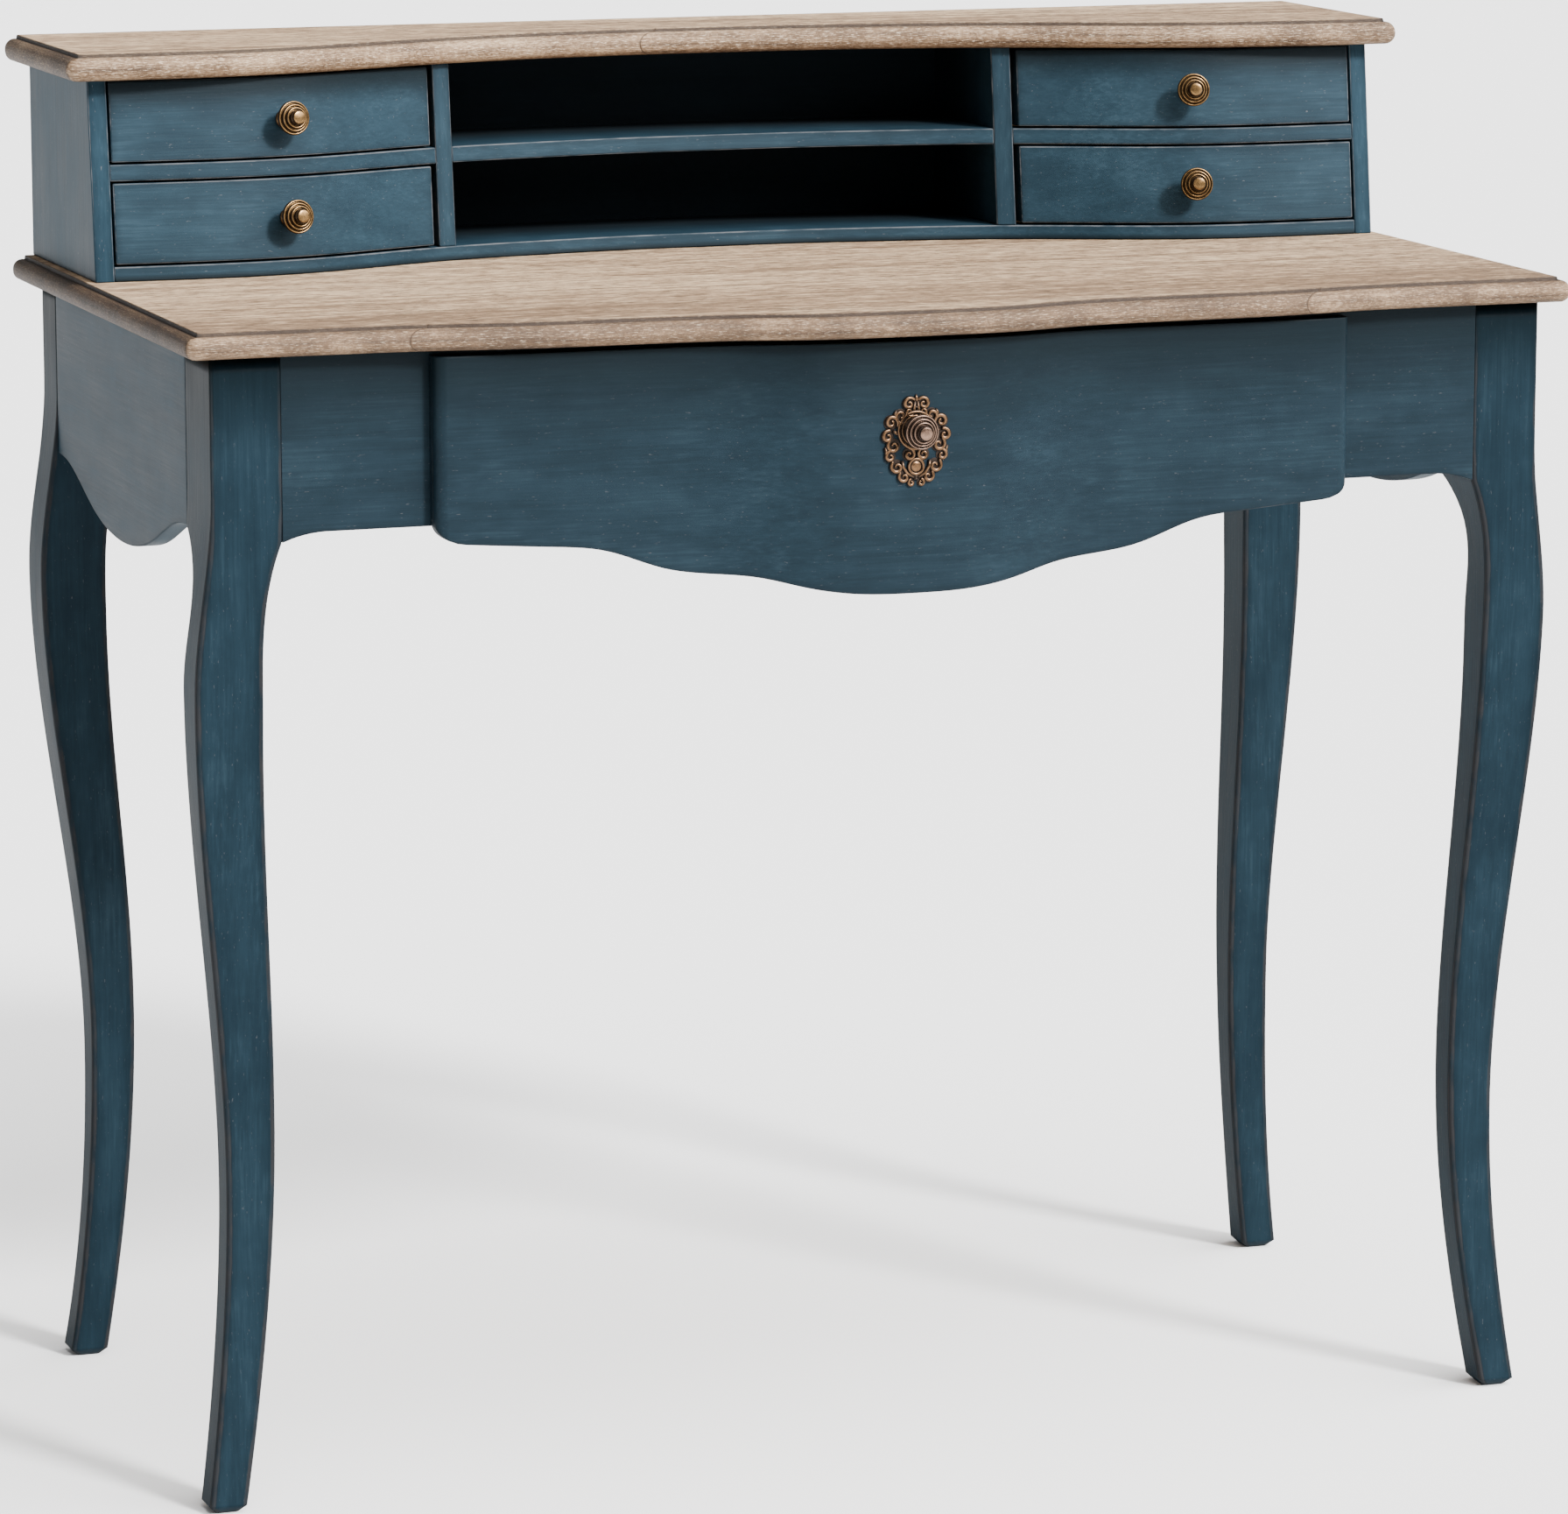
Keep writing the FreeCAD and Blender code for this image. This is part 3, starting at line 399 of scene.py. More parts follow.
def oak_moulding(name, colours, limed):
    """Rubbed oak moulding: dark streaks that follow the edge, and as much white wax as limed."""
    finish = Finish(name, IOR=1.45, Specular_IOR_Level=0.25)
    run, girth = finish.sheet("Place")
    total = finish.sheet("Span")[1]
    path = finish.node("ShaderNodeCombineXYZ", inputs={0: run, 1: girth})
    grain = finish.noise((11, 300, 1), 5, vector=path, roughness=0.65, distortion=0.15)
    flecks = finish.noise((190, 1500, 1), 4, (4, 2, 0), path, 0.7)
    fine = finish.noise((420, 1900, 1), 2, (1, 7, 0), path)
    crackle = finish.noise(520, 3, roughness=0.7)
    blotch = finish.noise(24, 4, roughness=0.6)
    piece = finish.node("ShaderNodeTexWhiteNoise", {"noise_dimensions": "1D"},
                        {"W": (run / MOULDING_PIECE).floor()})
    tone = grain * 0.4 + flecks * 0.35 + crackle * 0.25 + blotch * 0.4 + piece * 0.08
    darkest = 0.60 - limed * 0.14
    colour = finish.gradient(tone.ramp(darkest, darkest + 0.54), (0.0, colours.oak_pore),
                             (0.36, colours.oak_dark), (0.66, colours.oak),
                             (1.0, colours.oak_lime))
    # Painted shade: the quirk and the step up to the field are darkened.
    quirk = girth.ramp(total - 0.0050, total - 0.0038) * girth.ramp(total - 0.0004, total - 0.0014)
    # Painted shade: the nose is darkened where it turns under.
    under = girth.ramp(0.0045, 0.0)
    seam = ((run / MOULDING_PIECE).fraction() - 0.5).size().ramp(0.4988, 0.4996)
    colour = finish.layers(colour, (grain.ramp(0.43, 0.33) * 0.8, colours.oak_pore),
                           (flecks.ramp(0.54, 0.64) * 0.6 * limed, colours.oak_wax),
                           (flecks.ramp(0.46, 0.36) * 0.6, colours.oak_dark),
                           (quirk * (0.55 + grain * 0.6), colours.quirk),
                           (under * 0.6, colours.under), (seam * 0.7, colours.oak_pore))
    # Painted shade: the marked ends of a top are multiplied darker, as if their sides lay in shade.
    painted_end_shade = finish.attribute("painted_end_shade")
    colour = finish.node("ShaderNodeMix", {"data_type": "RGBA", "blend_type": "MULTIPLY"},
                         {0: painted_end_shade * (1.1 - flecks * 0.5), 6: colour, 7: srgb(108, 100, 92)},
                         output=2)
    height = grain * 0.8 + flecks * 0.9 + fine * 0.4 + crackle * 0.6 - seam
    return finish.paint(colour, 0.5 + fine * 0.2, height, 0.0005)


def plain_wood(name, colour, grain):
    """Unfinished drawer wood, its grain along one axis."""
    finish = Finish(name, IOR=1.45)
    figure = finish.noise(along(grain, 2.2, 75), 4, distortion=0.6)
    fibre = finish.noise(along(grain, 16, 800), 3, (5, 3, 8))
    tone = (figure * 0.65 + fibre * 0.4).ramp(0.35, 0.75)
    base = finish.mix(tone, scaled(colour, 0.62), colour)
    return finish.paint(base, 0.6 + fibre * 0.15, fibre, 0.00012)


def antique_brass(name, colours, tint, dark_from):
    """Cast brass, rubbed bright on its high spots and black where hollow passes dark_from."""
    finish = Finish(name)
    hollow = finish.attribute("hollow")
    tarnish = finish.noise(260, 4, roughness=0.6)
    grains = finish.noise(1400, 2)
    bright = finish.mix(tarnish.ramp(0.35, 0.7), scaled(tint, 0.55), tint)
    dull = (hollow + (tarnish - 0.5) * 0.35).ramp(0.08, dark_from)
    colour = finish.mix(dull * 0.95, bright, colours.patina_and_shade)
    finish.feed(finish.shader.inputs["Metallic"], 1.0 - dull * 0.3)
    return finish.paint(colour, 0.20 + dull * 0.2 + tarnish * 0.12, tarnish + grains * 0.4, 0.00004)


def zinc(name):
    finish = Finish(name, Metallic=1.0)
    spangle = finish.noise(700, 3)
    colour = finish.mix(spangle, srgb(150, 152, 154), srgb(196, 198, 200))
    return finish.paint(colour, 0.32 + spangle * 0.2, spangle, 0.00003)


# Curves and meshes

def smooth_points(points, count=1500):
    """Dense points of the smooth curve through a few points, spaced by chord length."""
    points = np.array(points, float)
    chord = np.concatenate([[0], np.cumsum(np.linalg.norm(np.diff(points, axis=0), axis=1))])
    gaps = np.diff(chord)
    size = len(points)
    matrix = np.eye(size)
    right = np.zeros((size, 2))
    for i in range(1, size - 1):
        matrix[i, i - 1:i + 2] = gaps[i - 1], 2 * (gaps[i - 1] + gaps[i]), gaps[i]
        right[i] = 6 * ((points[i + 1] - points[i]) / gaps[i]
                        - (points[i] - points[i - 1]) / gaps[i - 1])
    bend = np.linalg.solve(matrix, right)
    where = np.linspace(0, chord[-1], count)
    span = np.clip(np.searchsorted(chord, where, "right") - 1, 0, size - 2)
    gap = gaps[span][:, None]
    a = (chord[span + 1] - where)[:, None]
    b = (where - chord[span])[:, None]
    return (bend[span] * a ** 3 + bend[span + 1] * b ** 3) / (6 * gap) \
        + (points[span] / gap - bend[span] * gap / 6) * a \
        + (points[span + 1] / gap - bend[span + 1] * gap / 6) * b


def symmetric(half, offset=0.0):
    """Function of the distance from the middle, from half of a symmetric outline in mm."""
    whole = [(-x, v) for x, v in reversed(half[1:])] + list(half)
    dense = smooth_points(whole) * MM
    return lambda x: float(np.interp(x, dense[:, 0], dense[:, 1])) + offset


HUTCH_CURVE = symmetric(HUTCH_FRONT, FRONT_PLANE)
FACE_CURVE = symmetric(DRAWER_FACE, FRONT_PLANE)
FACE_LOWER = symmetric(DRAWER_LOWER_EDGE)
SIDE_LOWER = symmetric(SIDE_LOWER_EDGE)


def slope_at(curve, x):
    return (curve(x + MM) - curve(x - MM)) / (2 * MM)


def hermite(t, start, start_slope, end, end_slope):
    return ((2 * t ** 3 - 3 * t ** 2 + 1) * start + (t ** 3 - 2 * t ** 2 + t) * start_slope
            + (3 * t ** 2 - 2 * t ** 3) * end + (t ** 3 - t ** 2) * end_slope)


def steps(low, high, gap):
    """Even steps from low to high, about gap apart."""
    return list(np.linspace(low, high, max(2, math.ceil((high - low) / gap) + 1)))


def lay_grid(bm, grid, material=0):
    """Quads over a grid of vertices, storing the place on the surface and its whole span."""
    place = bm.loops.layers.uv["Place"]
    span = bm.loops.layers.uv["Span"]
    at = np.array([[vert.co[:] for vert in row] for row in grid])
    across = np.zeros(at.shape[:2])
    across[1:] = np.cumsum(np.linalg.norm(np.diff(at, axis=0), axis=2), axis=0)
    along_it = np.zeros(at.shape[:2])
    along_it[:, 1:] = np.cumsum(np.linalg.norm(np.diff(at, axis=1), axis=2), axis=1)
    for i in range(len(grid) - 1):
        for j in range(len(grid[0]) - 1):
            cells = [(i, j), (i + 1, j), (i + 1, j + 1), (i, j + 1)]
            corners = {}
            for a, b in cells:
                corners.setdefault(grid[a][b], (a, b))
            if len(corners) < 3:
                continue
            face = bm.faces.new(list(corners))
            face.material_index = material
            for loop in face.loops:
                a, b = corners[loop.vert]
                loop[place].uv = across[a, b], along_it[a, b]
                loop[span].uv = across[-1, b], along_it[a, -1]


def new_mesh():
    bm = bmesh.new()
    bm.loops.layers.uv.new("Place")
    bm.loops.layers.uv.new("Span")
    return bm


def ease_edges(bm, radius):
    """Round every hard edge."""
    hard = [edge for edge in bm.edges
            if len(edge.link_faces) == 2 and edge.calc_face_angle() > math.radians(28)]
    bmesh.ops.bevel(bm, geom=hard, offset=radius, offset_type="OFFSET", segments=3,
                    profile=0.6, affect="EDGES", clamp_overlap=True)


def settled(bm, name):
    """Mesh from its finished draft, with every face turned outwards."""
    bmesh.ops.recalc_face_normals(bm, faces=bm.faces)
    mesh = bpy.data.meshes.new(name)
    bm.to_mesh(mesh)
    bm.free()
    return mesh


def show(mesh, name, body, nodes, materials):
    """Turn a mesh into a piece that stands for its CAD nodes."""
    for material in materials:
        mesh.materials.append(material)
    shade(mesh)
    piece = bpy.data.objects.new(name, mesh)
    bpy.context.scene.collection.objects.link(piece)
    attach(piece, body)
    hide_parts(*nodes)
    return piece


def shade(mesh):
    """Smooth shading whose normals follow the large faces and ease over the small ones."""
    mesh.polygons.foreach_set("use_smooth", [True] * len(mesh.polygons))
    points = np.zeros((len(mesh.vertices), 3))
    for face in mesh.polygons:
        points[list(face.vertices)] += np.array(face.normal) * face.area
    points /= np.maximum(np.linalg.norm(points, axis=1, keepdims=True), 1e-20)
    corners = []
    for face in mesh.polygons:
        if len(face.vertices) > 40:
            corners += [tuple(face.normal)] * len(face.vertices)
        else:
            corners += [tuple(points[index]) for index in face.vertices]
    mesh.normals_split_custom_set(corners)


def board(name, body, node, material, point, s, t, r, ease, slot="blue_paint_on_wood"):
    """Solid board from a rule that places (s, t, r) in space, on three lists of steps."""
    bm = new_mesh()
    known = {}
    axes = (s, t, r)

    def vert(fixed, end, *others):
        index = (*others[:fixed], end, *others[fixed:])
        if index not in known:
            known[index] = bm.verts.new(point(*(axis[i] for axis, i in zip(axes, index))))
        return known[index]

    for fixed in range(3):
        first, second = [len(axes[axis]) for axis in range(3) if axis != fixed]
        for end in (0, len(axes[fixed]) - 1):
            lay_grid(bm, [[vert(fixed, end, i, j) for j in range(second)] for i in range(first)])
    bmesh.ops.recalc_face_normals(bm, faces=bm.faces)
    ease_edges(bm, ease)
    return show(settled(bm, name), name, body, [node], [material])


def straight(x, y, z):
    return x, y, z


def mirrored(sign, inner, outer):
    """A board's span across the desk on one side of its middle."""
    return sorted((sign * inner, sign * outer))


def hutch_point(x, z, depth, back):
    """Point of a hutch board: depth runs from 0 on the leaning front to 1 at back."""
    front = HUTCH_CURVE(x) + HUTCH_LEAN * (z - WRITING_HEIGHT)
    return x, front + (back - front) * depth, z


def hutch_board(name, material, x0, x1, z0, z1, back, sizes):
    made = board("seen_" + name, "desk", name, material,
                 lambda x, z, depth: hutch_point(x, z, depth, back),
                 steps(x0, x1, sizes.curve_step), [z0, z1], [0, 1], sizes.edge_round)
    mark(made.data, "inward", [v.co.y - hutch_point(v.co.x, v.co.z, 0, 0)[1]
                               for v in made.data.vertices])


def mark(mesh, name, values):
    """Store a number on each point of a mesh."""
    layer = mesh.attributes.new(name, "FLOAT", "POINT")
    layer.data.foreach_set("value", np.array(values, np.float32))


def hollow_marks(mesh, outward, depth=1.0):
    """Store how far each point turns away from outward, where no hand rubs the dark oxide off.

    Whatever lies behind the depth is all dark: oxide, and painted shade behind the scrolls.
    """
    mesh.update()
    turned_away = [0.5 + 1.1 * (0.62 - vert.normal.dot(outward)) + (vert.co.y > depth)
                   for vert in mesh.vertices]
    mark(mesh, "hollow", np.clip(turned_away, 0, 1))


# The tops

def moulded_outline(curve, half_width, inset, step):
    """Plan outline of a top, set in from its edge: left side, serpentine front, right side."""
    corner = max(0.008, inset + 0.0003)
    turn = corner - inset
    centre_x = half_width - corner
    centre_y = curve(centre_x) + corner
    along_side = math.ceil((BACK - curve(half_width)) / step)
    across_front = math.ceil(2 * half_width / step)
    side = [(half_width - inset, y) for y in np.linspace(centre_y, BACK, along_side)[1:]]
    arc = [(centre_x + turn * math.sin(a), centre_y - turn * math.cos(a))
           for a in np.linspace(0, math.pi / 2, 7)[1:]]
    front = []
    for x in np.linspace(-centre_x, centre_x, across_front):
        slope = slope_at(curve, x) if abs(x) <= centre_x - 0.002 else 0.0
        scale = inset / math.hypot(1, slope)
        front.append((x - slope * scale, curve(x) + scale))
    right = arc + side
    return [(-x, y) for x, y in reversed(right)] + front + right


def moulded_top(name, node, half, underside, thickness, sizes, materials):
    """Oak top: rounded nose on three sides, a quirk, and a raised field."""
    half_width = half[-1][0] * MM
    curve = symmetric(half, FRONT_PLANE)
    nose_height = thickness - 0.0025
    radius = (nose_height - 0.001) / 2
    profile = [(radius, 0.0)]
    profile += [(radius - radius * math.sin(a), radius - radius * math.cos(a))
                for a in np.linspace(0, math.pi / 2, 7)[1:]]
    profile += [(radius - radius * math.cos(a), nose_height - radius + radius * math.sin(a))
                for a in np.linspace(0, math.pi / 2, 7)]
    profile += [(0.0079, nose_height - 0.0002), (0.0083, nose_height + 0.0001),
                (0.0086, thickness - 0.0007), (0.0088, thickness - 0.0002), (0.0094, thickness)]
    bm = new_mesh()
    inmost = 0.24
    rows = []
    for k, (inset, height) in enumerate(profile):
        outline = moulded_outline(curve, half_width, inset, sizes.nose_step)
        row = []
        for x, y in outline:
            dent = 0.0
            if 0 < k < len(profile) - 5:
                worn = noise.fractal(Vector((x, y, height)) * 95, 1.0, 2.0, 3)
                dent = sizes.nose_wear * max(0.0, worn)
            toward = Vector((-x, inmost - y)).normalized()
            row.append(bm.verts.new((x + toward.x * dent, min(y + toward.y * dent, BACK),
                                     underside + height)))
        rows.append(row)
    lay_grid(bm, [list(column) for column in zip(*rows)], material=1)
    for flat in (rows[0], rows[-1]):
        bm.faces.new(flat).material_index = 0
    back = [row[0] for row in rows] + [row[-1] for row in reversed(rows)]
    bm.faces.new(back).material_index = 0
    bmesh.ops.remove_doubles(bm, verts=bm.verts, dist=1e-6)
    made = show(settled(bm, name), name, "desk", [node], materials)
    # Mark the tops' two ends, which the moulding darkens as painted shade.
    end_x = half_width - 0.0097
    end_y = curve(half_width) + 0.006
    mark(made.data, "painted_end_shade", [float(abs(v.co.x) > end_x and v.co.y > end_y)
                                  for v in made.data.vertices])


# Legs

def outline_at(knots, z):
    """Distance of a leg's outline at a height, in mm."""
    if z <= knots[0][0]:
        return knots[0][1]
    for (z0, d0, s0), (z1, d1, s1) in zip(knots, knots[1:]):
        if z <= z1:
            rise = z1 - z0
            return hermite((z - z0) / rise, d0, s0 * rise, d1, s1 * rise)
    return knots[-1][1]


def leg(name, side, profiles, material, sizes):
    """Cabriole leg lofted through rounded square sections."""
    bm = new_mesh()
    place = bm.loops.layers.uv["Place"]
    span = bm.loops.layers.uv["Span"]
    heights = [0, 0.8, 2.5, FOOT_CHAMFER, 6.5]
    heights += steps(14, 630, 7) + steps(634, 654, 2.2) + steps(662, LEG_TOP / MM, 11)
    turn = np.linspace(0, math.pi / 2, 4)
    rings = []
    for z in heights:
        tuck = max(0.0, FOOT_CHAMFER - z)
        inner = outline_at(profiles["inner"], z) + tuck
        outer = outline_at(profiles["outer"], z) - tuck
        front = outline_at(profiles["front"], z) + tuck
        back = outline_at(profiles["back"], z) - tuck
        round_by = sizes.leg_round / MM
        if z > SHARPER_ABOVE:
            round_by = max(1.0, round_by - (z - SHARPER_ABOVE) * 0.06)
        centres = [(outer - round_by, front + round_by, -math.pi / 2),
                   (outer - round_by, back - round_by, 0.0),
                   (inner + round_by, back - round_by, math.pi / 2),
                   (inner + round_by, front + round_by, math.pi)]
        ring = []
        for x, y, start in centres:
            ring += [bm.verts.new((side * (x + round_by * math.cos(start + a)) * MM,
                                   (y + round_by * math.sin(start + a)) * MM + FRONT_PLANE,
                                   z * MM)) for a in turn]
        rings.append(ring)
    count = len(rings[0])
    for low, high, z0, z1 in zip(rings, rings[1:], heights, heights[1:]):
        for i in range(count):
            j = (i + 1) % count
            face = bm.faces.new([low[i], low[j], high[j], high[i]])
            for loop in face.loops:
                near, far, z = low[i], low[j], z0
                if loop.vert not in (near, far):
                    near, far, z = high[i], high[j], z1
                width = (near.co - far.co).length if i % len(turn) == len(turn) - 1 else 0.0
                loop[place].uv = (width if loop.vert is far else 0.0), z * MM
                loop[span].uv = width, 2.0
    bm.faces.new(rings[0])
    bm.faces.new(rings[-1])
    show(settled(bm, name), "seen_" + name, "desk", [name], [material])


# Hardware

def circle(radius, count):
    """Points round a circle, as (x, y)."""
    return [(radius * math.cos(a), radius * math.sin(a))
            for a in np.linspace(0, 2 * math.pi, count + 1)[:-1]]


def turned(name, body, node, seat, outward, profile, sizes, material):
    """Knob turned from a profile of (radius, height) about its outward axis."""
    bm = new_mesh()
    spin = outward.to_track_quat("Z", "Y").to_matrix()
    rings = []
    for radius, height in profile:
        if radius == 0:
            tip = bm.verts.new(seat + spin @ Vector((0, 0, height)))
            rings.append([tip] * sizes.knob_sides)
        else:
            rings.append([bm.verts.new(seat + spin @ Vector((x, y, height)))
                          for x, y in circle(radius, sizes.knob_sides)])
    lay_grid(bm, [ring + ring[:1] for ring in rings])
    mesh = settled(bm, name)
    hollow_marks(mesh, outward)
    show(mesh, name, body, [node], [material])


def knob_profile(neck):
    """Foot, waisted neck, a rim and three beaded steps up to a button, in metres."""
    waist = (neck - 3) / 11
    profile = [(0, 0), (5.6, 0), (6, 0.3), (6, 1.0), (5.5, 1.4)]
    profile += [(radius, 1.4 + height * waist) for radius, height in (
        (4.6, 1.0), (4.1, 2.2), (3.9, 4.0), (3.9, 7.0), (4.2, 8.8), (5.2, 10.4))]
    profile += [(7, neck - 1.2), (9.6, neck - 0.2), (11.0, neck + 0.3), (11.5, neck + 0.9)]
    radius, height = 11.5, neck + 3.0
    width, rise = 2.1, 1.9
    profile.append((radius, height - 1.2))
    for _ in range(3):
        profile += [(radius - 0.10, height - 0.6), (radius - 0.40, height - 0.15),
                    (radius - 0.80, height), (radius - 1.2, height - 0.15),
                    (radius - 1.5, height - 0.6), (radius - 1.75, height - 1.15),
                    (radius - 2.05, height - 1.25)]
        radius -= width
        profile += [(radius, height - 0.9), (radius, height + rise - 1.1)]
        height += rise
    profile += [(radius - 0.10, height - 0.5), (radius - 0.35, height - 0.05)]
    top = height + 2.3
    profile += [(radius - 0.6, height + 0.1), (radius - 0.7, top - 1.1),
                (radius - 0.85, top - 0.55), (radius - 1.2, top - 0.25), (2.4, top - 0.12),
                (1.2, top - 0.03), (0, top)]
    return [(r * MM, h * MM) for r, h in profile]


def scroll(centre, start_radius, end_radius, start, sweep, thickness):
    """Points of a scroll that winds in to its eye, with a thickness at each point."""
    points = []
    for t in np.linspace(0, 1, max(10, int(abs(sweep) / 16))):
        radius = start_radius + (end_radius - start_radius) * t ** 0.8
        angle = math.radians(start + sweep * t)
        swell = thickness * (0.62 + 0.5 * math.sin(math.pi * min(1.0, t * 1.15 + 0.1)))
        points.append((centre[0] + radius * math.cos(angle), centre[1] + radius * math.sin(angle),
                       swell))
    return points


# The backplate, in mm from its knob: scrolls on both sides as (eye, radius at the start and the
# end, start and sweep in degrees, thickness), then lines of (x, z, thickness) points.
SCROLLS = [
    ((5.0, 17.4), 4.6, 0.7, 155, -470, 1.0), ((4.6, 12.2), 3.4, 0.8, 215, 330, 0.8),
    ((10.6, 9.6), 4.8, 0.8, 250, 400, 0.95), ((17.2, 5.6), 5.0, 0.9, 215, -480, 1.05),
    ((19.6, -3.4), 4.4, 0.8, 120, -420, 1.05), ((15.6, -9.6), 5.0, 0.9, 70, -430, 1.0),
    ((17.8, -16.6), 3.9, 0.8, 95, -380, 0.95), ((13.2, -23.4), 4.8, 0.9, 60, -430, 1.0),
    ((8.4, -30.2), 4.2, 0.8, 60, -400, 0.95), ((3.3, -34.2), 2.6, 0.6, 95, -380, 0.8),
    ((4.9, -15.6), 4.4, 0.9, 75, 470, 0.95),
]
STRAPS = [
    [(13.6, 13.6, 0.5), (14.6, 11.6, 0.9), (14.2, 8.6, 0.9)],
    [(21.6, -10.4, 0.7), (20.6, -13.4, 0.9), (21.0, -17.4, 0.8), (18.8, -20.2, 0.5)],
    [(9.6, -19.6, 0.9), (9.0, -23.6, 0.9), (6.2, -28.0, 0.9), (1.4, -30.6, 0.9)],
    [(1.2, 11.6, 0.8), (1.6, 14.6, 0.8), (0.8, 19.0, 0.9)],
    [(12.2, -2.6, 0.8), (14.4, -1.0, 0.9), (16.2, 0.4, 0.8)],
]
MIDDLE_LINES = [
    [(0, 18, 0.9), (0, 20.5, 1.25), (0, 22.2, 0.8), (0, 23.6, 0.25)],
    [(-1.6, 15.2, 0.7), (1.6, 15.2, 0.7)], [(-1.4, -31.6, 0.7), (1.4, -31.6, 0.7)],
    [(-1.4, -30.2, 0.7), (1.4, -30.2, 0.7)],
]
# Rings as (z, radius, thickness), then two discs as (x, z, radius, depth behind the scrolls'
# middle, crown).
RINGS = [(0, 12.1, 0.9), (0, 9.5, 0.7), (-23.6, 5.0, 0.85)]
# The knob's bed is sunk behind the scrolls' middle, so it comes out black: a dark disc painted as
# the shade round the knob.
KNOB_BED = (0, 0, 12.5, 0.6, 0.1)
JEWEL = (0, -23.6, 3.8, 0, 1.1)


def sweep_tree(material):
    """Tree that turns drawn lines into round bars, as thick as each point says."""
    tree = bpy.data.node_groups.new("Swept lines", "GeometryNodeTree")
    tree.interface.new_socket("Geometry", in_out="INPUT", socket_type="NodeSocketGeometry")
    thick = tree.interface.new_socket("Radius", in_out="INPUT", socket_type="NodeSocketFloat")
    facets = tree.interface.new_socket("Facets", in_out="INPUT", socket_type="NodeSocketInt")
    tree.interface.new_socket("Geometry", in_out="OUTPUT", socket_type="NodeSocketGeometry")
    add = tree.nodes.new
    start, end = add("NodeGroupInput"), add("NodeGroupOutput")
    section, sweep = add("GeometryNodeCurvePrimitiveCircle"), add("GeometryNodeCurveToMesh")
    size, real, paint = (add("GeometryNodeInputRadius"), add("GeometryNodeRealizeInstances"),
                         add("GeometryNodeSetMaterial"))
    sweep.inputs["Fill Caps"].default_value = True
    paint.inputs["Material"].default_value = material
    for source, target in (
            (start.outputs["Geometry"], sweep.inputs["Curve"]),
            (start.outputs["Radius"], section.inputs["Radius"]),
            (start.outputs["Facets"], section.inputs["Resolution"]),
            (section.outputs["Curve"], sweep.inputs["Profile Curve"]),
            (size.outputs[0], sweep.inputs["Scale"]), (sweep.outputs[0], real.inputs[0]),
            (real.outputs[0], paint.inputs["Geometry"]), (paint.outputs[0], end.inputs[0])):
        tree.links.new(source, target)
    return tree, thick.identifier, facets.identifier


def swept(lines, material, radius, facets):
    """Mesh of round bars along lines of (x, y, z, thickness) points, some of them closed."""
    data = bpy.data.curves.new("lines", "CURVE")
    data.dimensions = "3D"
    for points, closed in lines:
        spline = data.splines.new("POLY")
        spline.points.add(len(points) - 1)
        spline.use_cyclic_u = closed
        for place, (x, y, z, thickness) in zip(spline.points, points):
            place.co = (x, y, z, 1)
            place.radius = thickness
    source = bpy.data.objects.new("lines", data)
    bpy.context.scene.collection.objects.link(source)
    sweep = source.modifiers.new("Sweep", "NODES")
    sweep.node_group, radius_socket, facets_socket = sweep_tree(material)
    sweep[radius_socket] = radius
    sweep[facets_socket] = facets
    graph = bpy.context.evaluated_depsgraph_get()
    mesh = bpy.data.meshes.new_from_object(source.evaluated_get(graph), depsgraph=graph)
    source.modifiers.remove(sweep)
    bpy.data.objects.remove(source)
    mesh.materials.clear()
    mesh.uv_layers.new(name="Place")
    mesh.uv_layers.new(name="Span")
    return mesh


def screw_line(x, y, z, length):
    """Countersunk wood screw pointing up: head, plain shank, thread and tip."""
    pitch, root, crest, point_length = 0.9, 1.45, 1.98, 6.0
    steps_up = [(0.0, 3.6), (0.12, 3.9), (0.4, 3.95), (2.4, 2.05), (2.8, 1.95)]
    thread_start = max(4.0, length * 0.35)
    for turn in range(int((length - thread_start) / pitch)):
        height = thread_start + turn * pitch
        taper = min(1.0, (length - height) / point_length)
        steps_up += [(height, root * taper), (height + 0.3, crest * taper),
                     (height + 0.45, crest * taper), (height + 0.75, root * taper)]
    steps_up.append((length, 0.1))
    return [(x * MM, y * MM + FRONT_PLANE, (z + height) * MM, radius)
            for height, radius in steps_up]


# Operators

class DeskOperator:
    bl_options = {"REGISTER", "UNDO"}

    def execute(self, context):
        scene = context.scene
        self.make(scene.desk_sizes, scene.desk_colours)
        return {"FINISHED"}


class MakeTops(DeskOperator, bpy.types.Operator):
    """Make the two moulded oak tops"""
    bl_idname = "desk.make_tops"
    bl_label = "Tops"

    def make(self, sizes, colours):
        field = oak_board("greyed_oak_board", colours)
        moulding = oak_moulding("greyed_oak_moulding", colours, 1.0)
        darker = oak_moulding("rubbed_oak_moulding", colours, 0.5)
        moulded_top("writing_top", "desk_top", DESK_NOSE, LEG_TOP, DESK_TOP_THICKNESS, sizes,
                    [field, darker])
        moulded_top("upper_top", "hutch_top", HUTCH_NOSE, HUTCH_TOP_UNDERSIDE,
                    HUTCH_TOP_THICKNESS, sizes, [field, moulding])


